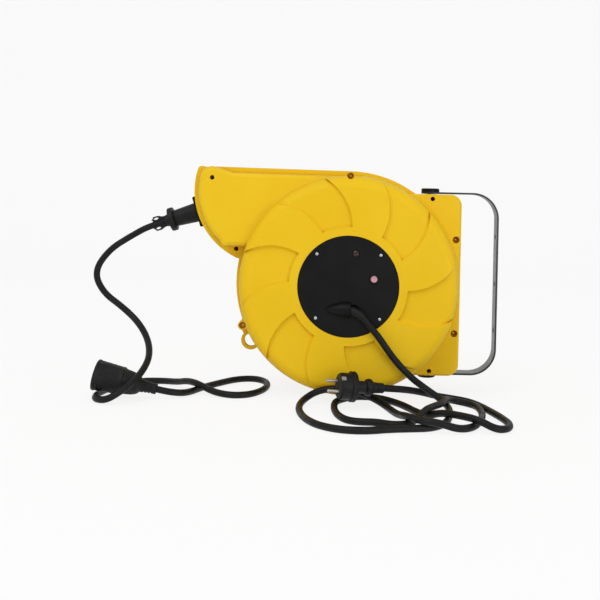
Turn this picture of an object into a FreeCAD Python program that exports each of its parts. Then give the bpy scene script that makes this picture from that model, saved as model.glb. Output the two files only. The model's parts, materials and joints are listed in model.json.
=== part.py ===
import FreeCAD, Part
import math
import os
import Sketcher

# Spring-driven extension cord reel with a swivel wall bracket, in millimetres.
# Every piece is drawn about the drum's axis, with X to the snout's right, Y away
# from the hub cover and Z up. The last step moves the whole reel so that the
# middle of its footprint stands on the floor at the origin.

os.makedirs("parts", exist_ok=True)
doc = FreeCAD.newDocument("cord_reel")
Vector = FreeCAD.Vector

DIMENSIONS = [
    # Casing disc
    ("disc_radius", 181.5),
    ("rim_step", 8.5),
    ("half_depth", 100.0),
    ("flange_depth", 40.0),
    ("edge_round", 18.0),
    ("wall", 4.0),
    ("ring_radius", 93.0),
    # Raised blades on the dome
    ("blade_count", 6),
    ("blade_height", 5.5),
    ("blade_start", 57.0),
    ("blade_sweep", 21.5),
    ("blade_curve", 88.0),
    # Snout that carries the cable mouth
    ("snout_depth", 74.0),
    ("snout_round", 7.0),
    ("lip_radius", 120.0),
    ("lip_back", 89.0),
    ("lip_drop", 35.5),
    ("lip_flange", 11.5),
    ("snout_rise", 2.8),
    ("snout_reach", 222.0),
    ("foot_drop", 123.5),
    ("foot_round", 10.0),
    ("mouth_angle", 17.2),
    # Mount block on the bracket's side
    ("block_drop", 34.5),
    ("block_depth", 46.0),
    ("block_corner", 18.0),
    ("block_round", 4.0),
    # Casing screws and their wells
    ("screw_shank", 2.4),
    ("screw_head", 3.5),
    ("screw_hold", 14.0),
    ("deep_well", 3.75),
    ("open_well", 5.6),
    ("boss_wall", 4.0),
    # Locking eye below the snout
    ("eye_angle", 32.57),
    ("eye_out", 8.0),
    ("eye_bore", 10.6),
    ("eye_rim", 5.4),
    ("eye_depth", 5.0),
    # Hub cover and what sits in it
    ("hub_radius", 79.4),
    ("cover_depth", 3.5),
    ("cover_screw_place", 50.0),
    ("cover_screw_head", 2.9),
    ("cover_screw_shank", 2.0),
    ("well_radius", 60.0),
    ("well_floor", 60.0),
    ("lens_x", 11.0),
    ("lens_z", 51.5),
    ("lens_radius", 4.8),
    ("button_x", 40.0),
    ("button_z", 12.4),
    ("button_radius", 5.3),
    ("button_travel", 2.5),
    ("inlet_z", 35.5),
    ("inlet_radius", 12.0),
    ("inlet_length", 37.0),
    ("inlet_mouth", 4.0),
    ("inlet_level", 104.0),
    ("sleeve_radius", 7.6),
    ("sleeve_tip", 6.5),
    ("breaker_width", 20.0),
    ("breaker_height", 24.0),
    # Drum, axle and bearings
    ("axle_radius", 8.0),
    ("bush_wall", 3.0),
    ("hub_wall", 5.0),
    ("core_radius", 88.0),
    ("core_wall", 4.0),
    ("drum_radius", 160.0),
    ("drum_half_width", 35.0),
    ("drum_plate", 3.0),
    ("winding_radius", 130.0),
    # Mainspring and ratchet
    ("case_radius", 82.0),
    ("case_depth", 42.0),
    ("case_wall", 3.0),
    ("spring_turns", 8),
    ("spring_strip", 1.2),
    ("ratchet_radius", 98.0),
    ("ratchet_teeth", 12),
    ("ratchet_width", 6.0),
    ("tooth_depth", 7.0),
    ("pawl_place", 118.0),
    ("pawl_bore", 4.0),
    ("pawl_level", 50.0),
    ("arbor_radius", 11.0),
    # Slip rings and brushes
    ("ring_hub_radius", 44.0),
    ("ring_hub_depth", 12.0),
    ("ring_pitch", 7.0),
    ("ring_width", 3.0),
    ("first_ring", 24.0),
    ("brush_radius", 2.5),
    # Swivel bracket
    ("pivot_inset", 47.5),
    ("strap_width", 30.0),
    ("strap_thick", 3.0),
    ("bracket_out", 65.5),
    ("bracket_corner", 43.0),
    ("pivot_gap", 0.8),
    ("pivot_bolt", 4.0),
    ("cap_radius", 15.0),
    ("cap_height", 6.0),
    ("wall_hole", 4.25),
    ("wall_hole_pitch", 78.0),
    # Cable mouth and its rollers
    ("guide_height", 51.0),
    ("guide_width", 52.0),
    ("guide_plate", 4.0),
    ("throat", 44.0),
    ("throat_depth", 34.0),
    ("roller_radius", 6.0),
    ("roller_length", 30.0),
    # Cords and what is on them
    ("cord_radius", 5.3),
    ("stopper_length", 40.5),
    ("stopper_big", 16.3),
    ("stopper_small", 13.5),
    ("collar_length", 9.0),
    ("collar_radius", 19.6),
    ("clamp_length", 31.0),
    # Rubber plug
    ("plug_x", -11.8),
    ("plug_y", -147.0),
    ("plug_rise", 36.5),
    ("plug_yaw", 17.0),
    ("plug_pitch", 5.0),
    ("plug_roll", 41.0),
    ("plug_length", 72.0),
    ("pin_radius", 2.4),
    ("pin_length", 19.0),
    ("pin_pitch", 19.0),
    # Rubber coupling
    ("coupling_x", -390.5),
    ("coupling_y", -103.0),
    ("coupling_rise", 36.6),
    ("coupling_yaw", 2.0),
    ("coupling_pitch", 12.67),
    ("coupling_length", 98.0),
    ("socket_radius", 19.8),
    ("socket_depth", 17.5),
    # Running clearance between pieces that slide or turn
    ("play", 0.3),
    # Where the footprint's middle and the floor lie, measured at the end
    ("origin_x", 6.0),
    ("origin_y", 8.0),
    ("origin_z", 181.5),
]

sheet = doc.addObject("Spreadsheet::Sheet", "Dimensions")
for row, (name, value) in enumerate(DIMENSIONS, start=1):
    sheet.set("A%d" % row, name)
    sheet.set("B%d" % row, str(value))
    sheet.setAlias("B%d" % row, name)
doc.recompute()


class Size:
    """A number that also knows the sheet expression that gives it."""

    def __init__(self, value, text):
        self.value = float(value)
        self.text = text

    def __add__(self, other):
        other = as_size(other)
        return Size(self.value + other.value, "(%s + %s)" % (self.text, other.text))

    def __radd__(self, other):
        return as_size(other) + self

    def __sub__(self, other):
        other = as_size(other)
        return Size(self.value - other.value, "(%s - %s)" % (self.text, other.text))

    def __rsub__(self, other):
        return as_size(other) - self

    def __mul__(self, other):
        other = as_size(other)
        return Size(self.value * other.value, "(%s * %s)" % (self.text, other.text))

    def __rmul__(self, other):
        return as_size(other) * self

    def __truediv__(self, other):
        other = as_size(other)
        return Size(self.value / other.value, "(%s / %s)" % (self.text, other.text))

    def __rtruediv__(self, other):
        return as_size(other) / self

    def __neg__(self):
        return Size(-self.value, "(0 - %s)" % self.text)


def as_size(number):
    """Take a plain number as a Size."""
    if isinstance(number, Size):
        return number
    return Size(number, "(%.9f)" % number if number < 0 else "%.9f" % number)


def root(size):
    """Square root."""
    return Size(math.sqrt(abs(size.value)), "sqrt(abs(%s))" % size.text)


def sine(angle):
    """Sine of an angle in degrees."""
    angle = as_size(angle)
    return Size(math.sin(math.radians(angle.value)), "sin(%s)" % angle.text)


def tangent(angle):
    """Tangent of an angle in degrees."""
    angle = as_size(angle)
    return Size(math.tan(math.radians(angle.value)), "tan(%s)" % angle.text)


def cosine(angle):
    """Cosine of an angle in degrees."""
    angle = as_size(angle)
    return Size(math.cos(math.radians(angle.value)), "cos(%s)" % angle.text)


class Dimensions:
    """The sheet's named cells as Sizes."""


d = Dimensions()
for name, value in DIMENSIONS:
    setattr(d, name, Size(sheet.get(name), "Dimensions." + name))

# Sizes that follow the disc and the snout's reach
d.dome_radius = d.disc_radius - d.rim_step
d.lip_x = d.snout_reach - d.lip_back
d.lip_z = d.disc_radius - d.lip_drop
d.snout_top = d.disc_radius + d.snout_rise
d.snout_foot = d.disc_radius - d.foot_drop
d.block_height = d.disc_radius - d.block_drop
d.block_reach = d.disc_radius
d.pivot_x = d.disc_radius - d.pivot_inset
d.bracket_reach = d.disc_radius + d.bracket_out
d.eye_distance = d.disc_radius + d.eye_out

FRONT = 1
REAR = -1
BEVELS = (20, 62)
nodes = []


# Helpers for bodies, sketches and features

def settle(piece, label, x=0, y=0, z=0, rotation=None):
    """Name a finished piece and move it with the whole reel."""
    piece.Label = label
    if rotation is not None:
        piece.Placement = FreeCAD.Placement(Vector(0, 0, 0), rotation)
    piece.setExpression("Placement.Base.x", (as_size(x) + d.origin_x).text)
    piece.setExpression("Placement.Base.y", (as_size(y) + d.origin_y).text)
    piece.setExpression("Placement.Base.z", (as_size(z) + d.origin_z).text)
    nodes.append(piece)
    return piece


def new_body(label, x=0, y=0, z=0, rotation=None):
    """An empty body for one piece."""
    return settle(doc.addObject("PartDesign::Body", label), label, x, y, z, rotation)


def new_sketch(body, plane, offset=0, shift_x=0, shift_y=0):
    """A sketch on one of the body's own origin planes, moved off it by an offset."""
    sketch = body.newObject("Sketcher::SketchObject", body.Name + "_sketch")
    support = [f for f in body.Origin.OriginFeatures if f.Role == plane + "_Plane"][0]
    sketch.AttachmentSupport = [(support, "")]
    sketch.MapMode = "FlatFace"
    sketch.setExpression("AttachmentOffset.Base.x", as_size(shift_x).text)
    sketch.setExpression("AttachmentOffset.Base.y", as_size(shift_y).text)
    sketch.setExpression("AttachmentOffset.Base.z", as_size(offset).text)
    return sketch


def constrain(sketch, kind, *where):
    """Add one constraint whose last entry is a Size."""
    size = as_size(where[-1])
    number = sketch.addConstraint(Sketcher.Constraint(kind, *where[:-1], size.value))
    sketch.setExpression("Constraints[%d]" % number, size.text)


def draw_circle(sketch, x, y, radius):
    """A circle held by its centre and radius."""
    x, y, radius = as_size(x), as_size(y), as_size(radius)
    shape = Part.Circle(Vector(x.value, y.value, 0), Vector(0, 0, 1), radius.value)
    number = sketch.addGeometry(shape)
    constrain(sketch, "DistanceX", -1, 1, number, 3, x)
    constrain(sketch, "DistanceY", -1, 1, number, 3, y)
    constrain(sketch, "Radius", number, radius)


def arc_centre(start, end, radius, bulge):
    """Centre of the minor arc between two points; bulge 1 swells to the left of the way."""
    across_x = end[0] - start[0]
    across_y = end[1] - start[1]
    half_square = (across_x * across_x + across_y * across_y) / 4
    share = bulge * root(radius * radius - half_square) / (2 * root(half_square))
    x = (start[0] + end[0]) / 2 + share * across_y
    y = (start[1] + end[1]) / 2 - share * across_x
    return x, y


def draw_outline(sketch, corners):
    """A closed outline. A corner is (x, y), or (x, y, radius, bulge) to reach it by an arc."""
    points = [(as_size(c[0]), as_size(c[1])) for c in corners]
    places = [Vector(x.value, y.value, 0) for x, y in points]
    pieces = []
    for index, corner in enumerate(corners):
        start, end = places[index - 1], places[index]
        if len(corner) == 2:
            pieces.append((sketch.addGeometry(Part.LineSegment(start, end)), 1, 2, None))
            continue
        radius = as_size(corner[2])
        centre = arc_centre(points[index - 1], points[index], radius, corner[3])
        middle = Vector(centre[0].value, centre[1].value, 0)
        first, last = (end, start) if corner[3] > 0 else (start, end)
        from_angle = math.atan2(first.y - middle.y, first.x - middle.x)
        to_angle = math.atan2(last.y - middle.y, last.x - middle.x)
        if to_angle < from_angle:
            to_angle += 2 * math.pi
        circle = Part.Circle(middle, Vector(0, 0, 1), radius.value)
        number = sketch.addGeometry(Part.ArcOfCircle(circle, from_angle, to_angle))
        ends = (2, 1) if corner[3] > 0 else (1, 2)
        pieces.append((number, *ends, centre))
    for index, (number, begin, end, centre) in enumerate(pieces):
        following, start = pieces[(index + 1) % len(pieces)][:2]
        sketch.addConstraint(Sketcher.Constraint("Coincident", number, end, following, start))
        constrain(sketch, "DistanceX", -1, 1, number, end, points[index][0])
        constrain(sketch, "DistanceY", -1, 1, number, end, points[index][1])
        if centre is not None:
            across = places[index] - places[index - 1]
            if abs(across.x) > abs(across.y):
                constrain(sketch, "DistanceY", -1, 1, number, 3, centre[1])
            else:
                constrain(sketch, "DistanceX", -1, 1, number, 3, centre[0])


def draw_box(sketch, x0, y0, x1, y1):
    """A rectangle from one corner to the other."""
    draw_outline(sketch, [(x0, y0), (x1, y0), (x1, y1), (x0, y1)])


def pad(body, sketch, length, away=False, both=False):
    """Pad a sketch, towards its front unless away."""
    feature = body.newObject("PartDesign::Pad", body.Name + "_pad")
    feature.Profile = sketch
    feature.setExpression("Length", as_size(length).text)
    feature.Reversed = away
    feature.Midplane = both
    return feature


def pocket(body, sketch, length, away=False, both=False):
    """Cut a sketch into the body, towards the sketch's back unless away."""
    feature = body.newObject("PartDesign::Pocket", body.Name + "_pocket")
    feature.Profile = sketch
    feature.setExpression("Length", as_size(length).text)
    feature.Reversed = away
    feature.Midplane = both
    return feature


def revolve(body, sketch, axis="V_Axis", kind="Revolution", angle=360):
    """Turn a sketch about its own vertical or horizontal axis."""
    feature = body.newObject("PartDesign::" + kind, body.Name + "_turned")
    feature.Profile = sketch
    feature.ReferenceAxis = (sketch, [axis])
    feature.Angle = angle
    feature.Midplane = angle < 360
    return feature


def repeat(body, feature, axis, count):
    """Repeat one feature evenly about an origin axis."""
    pattern = body.newObject("PartDesign::PolarPattern", body.Name + "_pattern")
    pattern.Originals = [feature]
    line = [f for f in body.Origin.OriginFeatures if f.Role == axis + "_Axis"][0]
    pattern.Axis = (line, [""])
    pattern.Angle = 360
    pattern.setExpression("Occurrences", as_size(count).text)
    body.Tip = pattern
    return pattern


def add_slab(body, side, low, high, draw):
    """Pad what draw puts in a sketch, from one depth to a greater one on that side."""
    sketch = new_sketch(body, "XZ", side * as_size(low))
    draw(sketch)
    return pad(body, sketch, as_size(high) - low, away=side == REAR)


def taper(feature, angle):
    """Draw the pad's walls in by an angle on its way up."""
    feature.TaperAngle = -angle
    return feature


def cut_slab(body, side, low, high, draw):
    """Cut what draw puts in a sketch, between two depths on that side."""
    sketch = new_sketch(body, "XZ", side * as_size(high))
    draw(sketch)
    return pocket(body, sketch, as_size(high) - low, away=side == REAR)


def turned(label, profile, plane="XY", axis="V_Axis", shift_x=0, shift_y=0, **place):
    """A piece turned about an axis from one closed profile."""
    body = new_body(label, **place)
    sketch = new_sketch(body, plane, 0, shift_x, shift_y)
    draw_outline(sketch, profile)
    revolve(body, sketch, axis)
    return body


def drum_turned(label, profile):
    """A piece turned about the drum's axis; the profile's points are (radius, depth)."""
    flipped = [(c[0], -as_size(c[1])) + (() if len(c) == 2 else (c[2], -c[3])) for c in profile]
    return turned(label, flipped)


def ring_profile(inner, outer, low, high):
    """A rectangular ring section."""
    return [(inner, low), (outer, low), (outer, high), (inner, high)]


def polar(distance, angle):
    """The point at a distance and an angle from the drum's axis."""
    return as_size(distance) * cosine(angle), as_size(distance) * sine(angle)


# Places that several pieces share

cover_seat = d.half_depth - d.cover_depth
hub_plate = d.half_depth - 7
COVER_SCREWS = [(x * d.cover_screw_place, z * d.cover_screw_place)
                for x, z in ((1, 1), (-1, 1), (-1, -1), (1, -1))]
inner_face = d.half_depth - d.blade_height - d.wall
well_wall = d.well_radius + d.wall
lip_top = (-(d.lip_x + root(d.lip_radius * d.lip_radius - 35 * 35)), d.lip_z + 35)
eye_x, eye_z = polar(-d.eye_distance, d.eye_angle)

# Places on the pivot, the mouth and the axle that several pieces share
pivot_head = as_size(9)
pivot_head_thick = as_size(2.5)
screw_height = d.block_height - 7.5
pivot_shelf = screw_height + d.screw_shank + d.play
mouth_x = -(d.lip_x + d.lip_radius * cosine(d.mouth_angle))
mouth_z = d.lip_z - d.lip_radius * sine(d.mouth_angle)

inlet_bore = as_size(8.5)
bezel_radius = as_size(7.0)
throat_inner = d.throat / 2 - 3
roller_pin = as_size(2)
roller_place = d.cord_radius + 0.5 + d.roller_radius
first_roller = as_size(-10)
second_roller = as_size(-24)
contact_outer = as_size(3.6)

# Casing screws: those in deep narrow wells and those in wide open ones
DEEP_SCREWS = [(-(d.snout_reach - 2), d.snout_top - 18.3), (-(d.lip_x + 50.2), d.lip_z - 94.6),
               (d.pivot_x, screw_height), (d.pivot_x, -screw_height)]
lug_x, lug_z = polar(-(d.disc_radius + 3.5), 23.24)
OPEN_SCREWS = [(0, d.disc_radius - 8), (d.block_reach - 8.3, 74), (d.block_reach - 8.3, -78),
               (lug_x, lug_z)]
deep_seat = as_size(22)
open_seat = as_size(34)

# Brushes: distance and angle from the axle, one on each slip ring
BRUSHES = [(0, 90), (1, 210), (2, 330)]


def dome_profile(side, radius, face, round_radius, foot):
    """Half section of a domed disc from the split plane to its face."""
    def depth(value):
        return -side * as_size(value)
    return [
        (0, depth(foot)),
        (radius, depth(foot)),
        (radius, depth(face - round_radius)),
        (radius - round_radius, depth(face), round_radius, side),
        (0, depth(face)),
    ]


def blade_sector(sketch):
    """The outline of one raised blade between two curved steps and two rings."""
    reach = d.disc_radius + 4.5
    start = d.blade_start
    far = start + d.blade_sweep
    step = 180 / d.blade_count
    inner = d.ring_radius - 2
    draw_outline(sketch, [
        (*polar(inner, start), inner, 1),
        (*polar(reach, far), d.blade_curve, -1),
        (*polar(reach, far + step), reach, -1),
        (*polar(inner, start + step), d.blade_curve, 1),
    ])


def snout_outline(sketch):
    """The snout at the split plane: top edge, small ear, lip arc and back into the disc."""
    lip = d.lip_radius
    draw_outline(sketch, [
        (0, 0),
        (0, d.disc_radius),
        (-d.snout_reach, d.snout_top),
        (-(d.snout_reach + 11.5), d.snout_top - 6, 12, -1),
        (-(d.snout_reach + 14.5), d.snout_top - 2),
        (*lip_top, 6.5, -1),
        (-(d.lip_x + lip * cosine(65.8)), d.lip_z - lip * sine(65.8), lip, -1),
    ])


def snout_face(sketch, inset=0):
    """The bulged face of the snout inside its flange."""
    lip = d.lip_radius - d.lip_flange - inset
    foot = d.snout_foot + inset
    top = d.snout_top - 9.8 - inset
    turn = d.lip_z - foot - 7
    side_x = d.lip_x + root(lip * lip - turn * turn)
    shoulder = d.lip_z + 20
    draw_outline(sketch, [
        (0, foot - 2),
        (0, top - 2),
        (-(d.snout_reach - 34), top),
        (-(d.snout_reach - 6), top + 9),
        (-(d.lip_x + root(lip * lip - 20 * 20)), shoulder, 19, -1),
        (-side_x, foot + 7, lip, -1),
        (-(side_x - 14), foot, d.foot_round - inset, -1),
    ])


def block_outline(sketch, inset=0):
    """The mount block beside the disc."""
    high = d.block_height - inset
    reach = d.block_reach - inset
    corner = d.block_corner - inset
    draw_outline(sketch, [
        (inset - 5, -high),
        (reach - corner, -high),
        (reach, -high + corner, corner, -1),
        (reach, high - corner),
        (reach - corner, high, corner, -1),
        (inset - 5, high),
    ])


def eye_neck(sketch):
    """The web between the locking eye and the lug of the open screw above it."""
    across_x, across_z = lug_x - eye_x, lug_z - eye_z
    length = root(across_x * across_x + across_z * across_z)
    along_x, along_z = across_x / length, across_z / length
    near = d.eye_bore + d.eye_rim / 2

    def place(along, out):
        return eye_x + along * along_x - out * along_z, eye_z + along * along_z + out * along_x

    draw_outline(sketch, [
        place(near, -7), place(near, 7), (*place(length, 6.5), 22, 1), place(length, -5)])


def casing_half(label, side):
    """One moulded half of the casing, front or rear."""
    body = new_body(label)
    low_face = d.half_depth - d.blade_height

    # The low dome that shows between the blades
    sketch = new_sketch(body, "XY")
    draw_outline(sketch, dome_profile(side, d.dome_radius, low_face, d.edge_round, 0))
    revolve(body, sketch)

    # Blades and hub ring, padded too tall and then trimmed to the high dome
    blade_foot = d.snout_depth + 1
    sketch = new_sketch(body, "XZ", side * blade_foot)
    blade_sector(sketch)
    blade = pad(body, sketch, d.half_depth - blade_foot, away=side == REAR)
    repeat(body, blade, "Y", d.blade_count)
    add_slab(body, side, low_face - 5, d.half_depth, lambda s: draw_circle(s, 0, 0, d.ring_radius))
    beyond = d.disc_radius + 40
    trim = dome_profile(side, d.dome_radius, d.half_depth, d.edge_round, blade_foot)[1:4]
    sketch = new_sketch(body, "XY")
    draw_outline(sketch, trim + [
        (d.dome_radius - d.edge_round, -side * (d.half_depth + 10)),
        (beyond, -side * (d.half_depth + 10)),
        (beyond, -side * blade_foot),
    ])
    revolve(body, sketch, kind="Groove")

    # Flange round the disc and the snout
    add_slab(body, side, 0, d.flange_depth, lambda s: draw_circle(s, 0, 0, d.disc_radius))
    add_slab(body, side, 0, d.flange_depth, snout_outline)

    # Locking eye, whose hole is flat where the disc's rim passes
    add_slab(body, side, 0, d.eye_depth, lambda s: (
        draw_circle(s, eye_x, eye_z, d.eye_bore + d.eye_rim),
        draw_circle(s, eye_x, eye_z, d.eye_bore)))
    add_slab(body, side, 0, d.eye_depth, eye_neck)

    # Bulged face of the snout, and the mount block, with bevelled edges
    shoulder = d.snout_depth - d.snout_round
    bevel = d.snout_depth - d.snout_round / 3
    first_inset = (bevel - shoulder) * tangent(BEVELS[0])
    add_slab(body, side, 0, shoulder, snout_face)
    taper(add_slab(body, side, shoulder, bevel, snout_face), BEVELS[0])
    taper(add_slab(body, side, bevel, d.snout_depth, lambda s: snout_face(s, first_inset)), BEVELS[1])
    add_slab(body, side, 0, d.block_depth - d.block_round, block_outline)
    taper(add_slab(body, side, d.block_depth - d.block_round, d.block_depth, block_outline), 40)

    # Cavity for the drum, with the snout and the block hollow too
    sketch = new_sketch(body, "XY")
    draw_outline(sketch, dome_profile(side, d.dome_radius - d.wall, inner_face,
                                      d.edge_round - d.wall, 0))
    revolve(body, sketch, kind="Groove")
    cut_slab(body, side, 0, d.flange_depth - d.wall,
             lambda s: draw_circle(s, 0, 0, d.disc_radius - d.wall))
    cut_slab(body, side, 0, d.snout_depth - d.snout_round, lambda s: snout_face(s, d.wall))
    cut_slab(body, side, 0, d.block_depth - d.wall, lambda s: block_outline(s, d.wall))

    # Screw bosses, and the two solid blocks that hold the pivot bolts
    boss_radius = d.deep_well + d.boss_wall
    add_slab(body, side, 0, shoulder + 2,
             lambda s: draw_circle(s, *DEEP_SCREWS[0], boss_radius))
    add_slab(body, side, 0, d.flange_depth - 1,
             lambda s: draw_circle(s, *DEEP_SCREWS[1], boss_radius))
    add_slab(body, side, 0, d.flange_depth,
             lambda s: draw_circles(s, OPEN_SCREWS, d.open_well + d.boss_wall / 2))
    add_slab(body, side, 0, d.block_depth - 2, pivot_blocks)
    cut_slab(body, side, 0, pivot_head + d.play, pivot_pockets)
    sketch = new_sketch(body, "XY", d.block_height + 1, d.pivot_x, 0)
    draw_circle(sketch, 0, 0, d.pivot_bolt + d.play)
    pocket(body, sketch, 2 * d.block_height + 2)
    every_screw = DEEP_SCREWS + OPEN_SCREWS
    if side == FRONT:
        cut_slab(body, side, deep_seat, d.half_depth,
                 lambda s: draw_circles(s, DEEP_SCREWS, d.deep_well))
        cut_slab(body, side, open_seat, d.half_depth,
                 lambda s: draw_circles(s, OPEN_SCREWS, d.open_well))
        cut_slab(body, side, 0, open_seat, lambda s: draw_circles(s, every_screw, d.screw_shank))
    else:
        cut_slab(body, side, 0, d.screw_hold, lambda s: draw_circles(s, every_screw, d.screw_shank))

    # Window for the cable guide in the lip
    sketch = new_sketch(body, "XZ", side * (d.throat / 2 + d.play))
    draw_outline(sketch, mouth_window())
    pocket(body, sketch, d.throat / 2 + d.play, away=side == REAR)

    # Hub: a cup behind the cover at the front, a plain sunk plate at the rear
    if side == FRONT:
        add_slab(body, side, d.well_floor, cover_seat, lambda s: draw_circle(s, 0, 0, well_wall))
        add_slab(body, side, cover_seat - 14, cover_seat,
                 lambda s: draw_circles(s, COVER_SCREWS, d.boss_wall + 1))
        cut_slab(body, side, cover_seat, d.half_depth,
                 lambda s: draw_circle(s, 0, 0, d.hub_radius + d.play))
        cut_slab(body, side, d.well_floor + 3, d.half_depth,
                 lambda s: draw_circle(s, 0, 0, d.well_radius))
        cut_slab(body, side, cover_seat - 12, cover_seat,
                 lambda s: draw_circles(s, COVER_SCREWS, d.cover_screw_shank))
        windows = [polar(*brush_place(*brush)) for brush in BRUSHES]
        cut_slab(body, side, d.well_floor - 1, d.well_floor + 4, lambda s: (
            draw_circle(s, 0, 0, d.axle_radius + d.play),
            draw_circles(s, windows, d.brush_radius + d.play)))
    else:
        add_slab(body, side, hub_plate - 8, hub_plate, lambda s: draw_circle(s, 0, 0, 30))
        cut_slab(body, side, hub_plate, d.half_depth, lambda s: draw_circle(s, 0, 0, d.hub_radius))
        cut_slab(body, side, hub_plate - 9, d.half_depth,
                 lambda s: draw_circle(s, 0, 0, d.axle_radius + d.play))
    return body


def draw_circles(sketch, places, radius):
    """Equal circles at several places."""
    for x, y in places:
        draw_circle(sketch, x, y, radius)


def brush_place(ring, angle):
    """Distance and angle of the brush on one slip ring."""
    return d.first_ring + ring * d.ring_pitch + d.ring_width / 2, angle


def pivot_blocks(sketch):
    """Solid blocks round the two pivot bolts."""
    for end in (1, -1):
        draw_box(sketch, d.pivot_x - 15, end * (d.block_height - 20),
                 d.pivot_x + 15, end * (d.block_height - 1))


def pivot_pockets(sketch):
    """Pockets that the pivot bolts' flat heads lie in."""
    half = pivot_head + d.play
    for end in (1, -1):
        draw_box(sketch, d.pivot_x - half, end * pivot_shelf,
                 d.pivot_x + half, end * (pivot_shelf + pivot_head_thick))


def mouth_window():
    """Corners of the window in the lip, turned with the cable guide."""
    along_x, along_z = cosine(d.mouth_angle), sine(d.mouth_angle)
    half = d.throat / 2 + d.play
    return [(mouth_x - along_x * out - along_z * up, mouth_z - along_z * out + along_x * up)
            for out, up in ((4, half), (4, -half), (-d.throat_depth, -half), (-d.throat_depth, half))]


# Casing

front_shell = casing_half("front_shell", FRONT)
rear_shell = casing_half("rear_shell", REAR)


def upright_turns(label, places, profile):
    """Equal turned pieces that stand along the drum's axis at several places.

    The profile's points are (radius, depth)."""
    body = new_body(label)
    for x, z in places:
        sketch = new_sketch(body, "XY", z, x, 0)
        draw_outline(sketch, [(r, -as_size(depth)) for r, depth in profile])
        revolve(body, sketch)
    return body


def screw_profile(shank, head, seat, thick, tip):
    """Half section of a screw from its head to its tip."""
    return [(0, tip), (shank, as_size(tip) + shank), (shank, seat), (head, seat),
            (head, seat + thick * 0.6), (head * 0.6, seat + thick), (0, seat + thick)]


shank_fit = d.screw_shank - 0.1
for label, places, seat in (("shell_screws_deep", DEEP_SCREWS, deep_seat),
                            ("shell_screws_open", OPEN_SCREWS, open_seat)):
    upright_turns(label, places,
                  screw_profile(shank_fit, d.screw_head, seat, 2.6, -(d.screw_hold - 1)))

# Hub cover with its hood over the supply cord

cover = new_body("hub_cover")
add_slab(cover, FRONT, cover_seat, d.half_depth, lambda s: draw_circle(s, 0, 0, d.hub_radius))
add_slab(cover, FRONT, cover_seat - 2.5, cover_seat, lambda s: draw_box(
    s, -34, -(d.inlet_z + 11), 30, -(d.inlet_z - 11)))
sketch = new_sketch(cover, "XY", -d.inlet_z, 0, -d.inlet_level)
hood_tail = d.inlet_mouth - d.inlet_length
draw_outline(sketch, [(hood_tail, 2), (d.inlet_mouth, d.inlet_radius, 66, 1),
                      (d.inlet_mouth, 0), (hood_tail, 0)])
revolve(cover, sketch, "H_Axis")
cut_slab(cover, FRONT, cover_seat - 20, cover_seat - 2.5, lambda s: draw_circle(s, -10, -d.inlet_z, 30))
sketch = new_sketch(cover, "XY", -d.inlet_z, 0, -d.inlet_level)
draw_outline(sketch, [(hood_tail + 17, 0), (d.inlet_mouth + 1, 0), (d.inlet_mouth + 1, inlet_bore),
                      (hood_tail + 23, inlet_bore)])
revolve(cover, sketch, "H_Axis", "Groove")
sketch = new_sketch(cover, "XY", -d.inlet_z, 0, -(d.inlet_level + 0.6))
draw_outline(sketch, [(d.inlet_mouth - 1, 0), (d.inlet_mouth + 34, 0), (d.inlet_mouth + 34, 1),
                      (d.inlet_mouth + 8, 8.7, 40, 1), (d.inlet_mouth - 1, 8.7)])
revolve(cover, sketch, "H_Axis", "Groove")
cut_slab(cover, FRONT, d.half_depth - 1.5, d.half_depth,
         lambda s: draw_circle(s, d.lens_x, d.lens_z, d.lens_radius + 1.2))
cut_slab(cover, FRONT, d.half_depth - 1.2, d.half_depth,
         lambda s: draw_circles(s, COVER_SCREWS, d.cover_screw_head + 0.7))
cut_slab(cover, FRONT, cover_seat - 3, d.half_depth, lambda s: (
    draw_circle(s, d.lens_x, d.lens_z, d.lens_radius + 0.1),
    draw_circle(s, d.button_x, d.button_z, bezel_radius + 0.1),
    draw_circles(s, COVER_SCREWS, d.cover_screw_shank + 0.2)))

cover_screw_seat = d.half_depth - 1.2
upright_turns("hub_cover_screws", COVER_SCREWS, screw_profile(
    d.cover_screw_shank - 0.1, d.cover_screw_head, cover_screw_seat, 2.0, cover_seat - 11))

lens_back = cover_seat - 3.5
upright_turns("pilot_lens", [(d.lens_x, d.lens_z)], [
    (0, lens_back), (d.lens_radius + 1, lens_back), (d.lens_radius + 1, cover_seat),
    (d.lens_radius, cover_seat), (d.lens_radius, d.half_depth - 1.2),
    (d.lens_radius * 0.6, d.half_depth - 0.2), (0, d.half_depth)])
upright_turns("pilot_lamp", [(d.lens_x, d.lens_z)], [
    (0, lens_back - 10), (d.lens_radius, lens_back - 10), (d.lens_radius + 1, lens_back - 8),
    (d.lens_radius + 1, lens_back), (0, lens_back)])

# Overload breaker behind the cover, with its reset button and the spring under it

breaker_top = as_size(88)
breaker = new_body("overload_breaker")
add_slab(breaker, FRONT, d.well_floor + 14, breaker_top, lambda s: draw_box(
    s, d.button_x - d.breaker_height / 2, d.button_z - d.breaker_width / 2,
    d.button_x + d.breaker_height / 2, d.button_z + d.breaker_width / 2))
add_slab(breaker, FRONT, d.well_floor + 7, d.well_floor + 14, lambda s: (
    draw_box(s, d.button_x - 9, d.button_z - 1, d.button_x - 8, d.button_z + 5),
    draw_box(s, d.button_x + 7, d.button_z - 1, d.button_x + 8, d.button_z + 5)))
button_play = d.button_radius + d.play
upright_turns("reset_bezel", [(d.button_x, d.button_z)], [
    (button_play, breaker_top), (bezel_radius, breaker_top), (bezel_radius, d.half_depth),
    (bezel_radius + 1.2, d.half_depth), (bezel_radius + 1.2, d.half_depth + 0.6),
    (bezel_radius, d.half_depth + 1.4), (button_play, d.half_depth + 1.4)])
button_back = breaker_top + d.button_travel + 2.5
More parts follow.
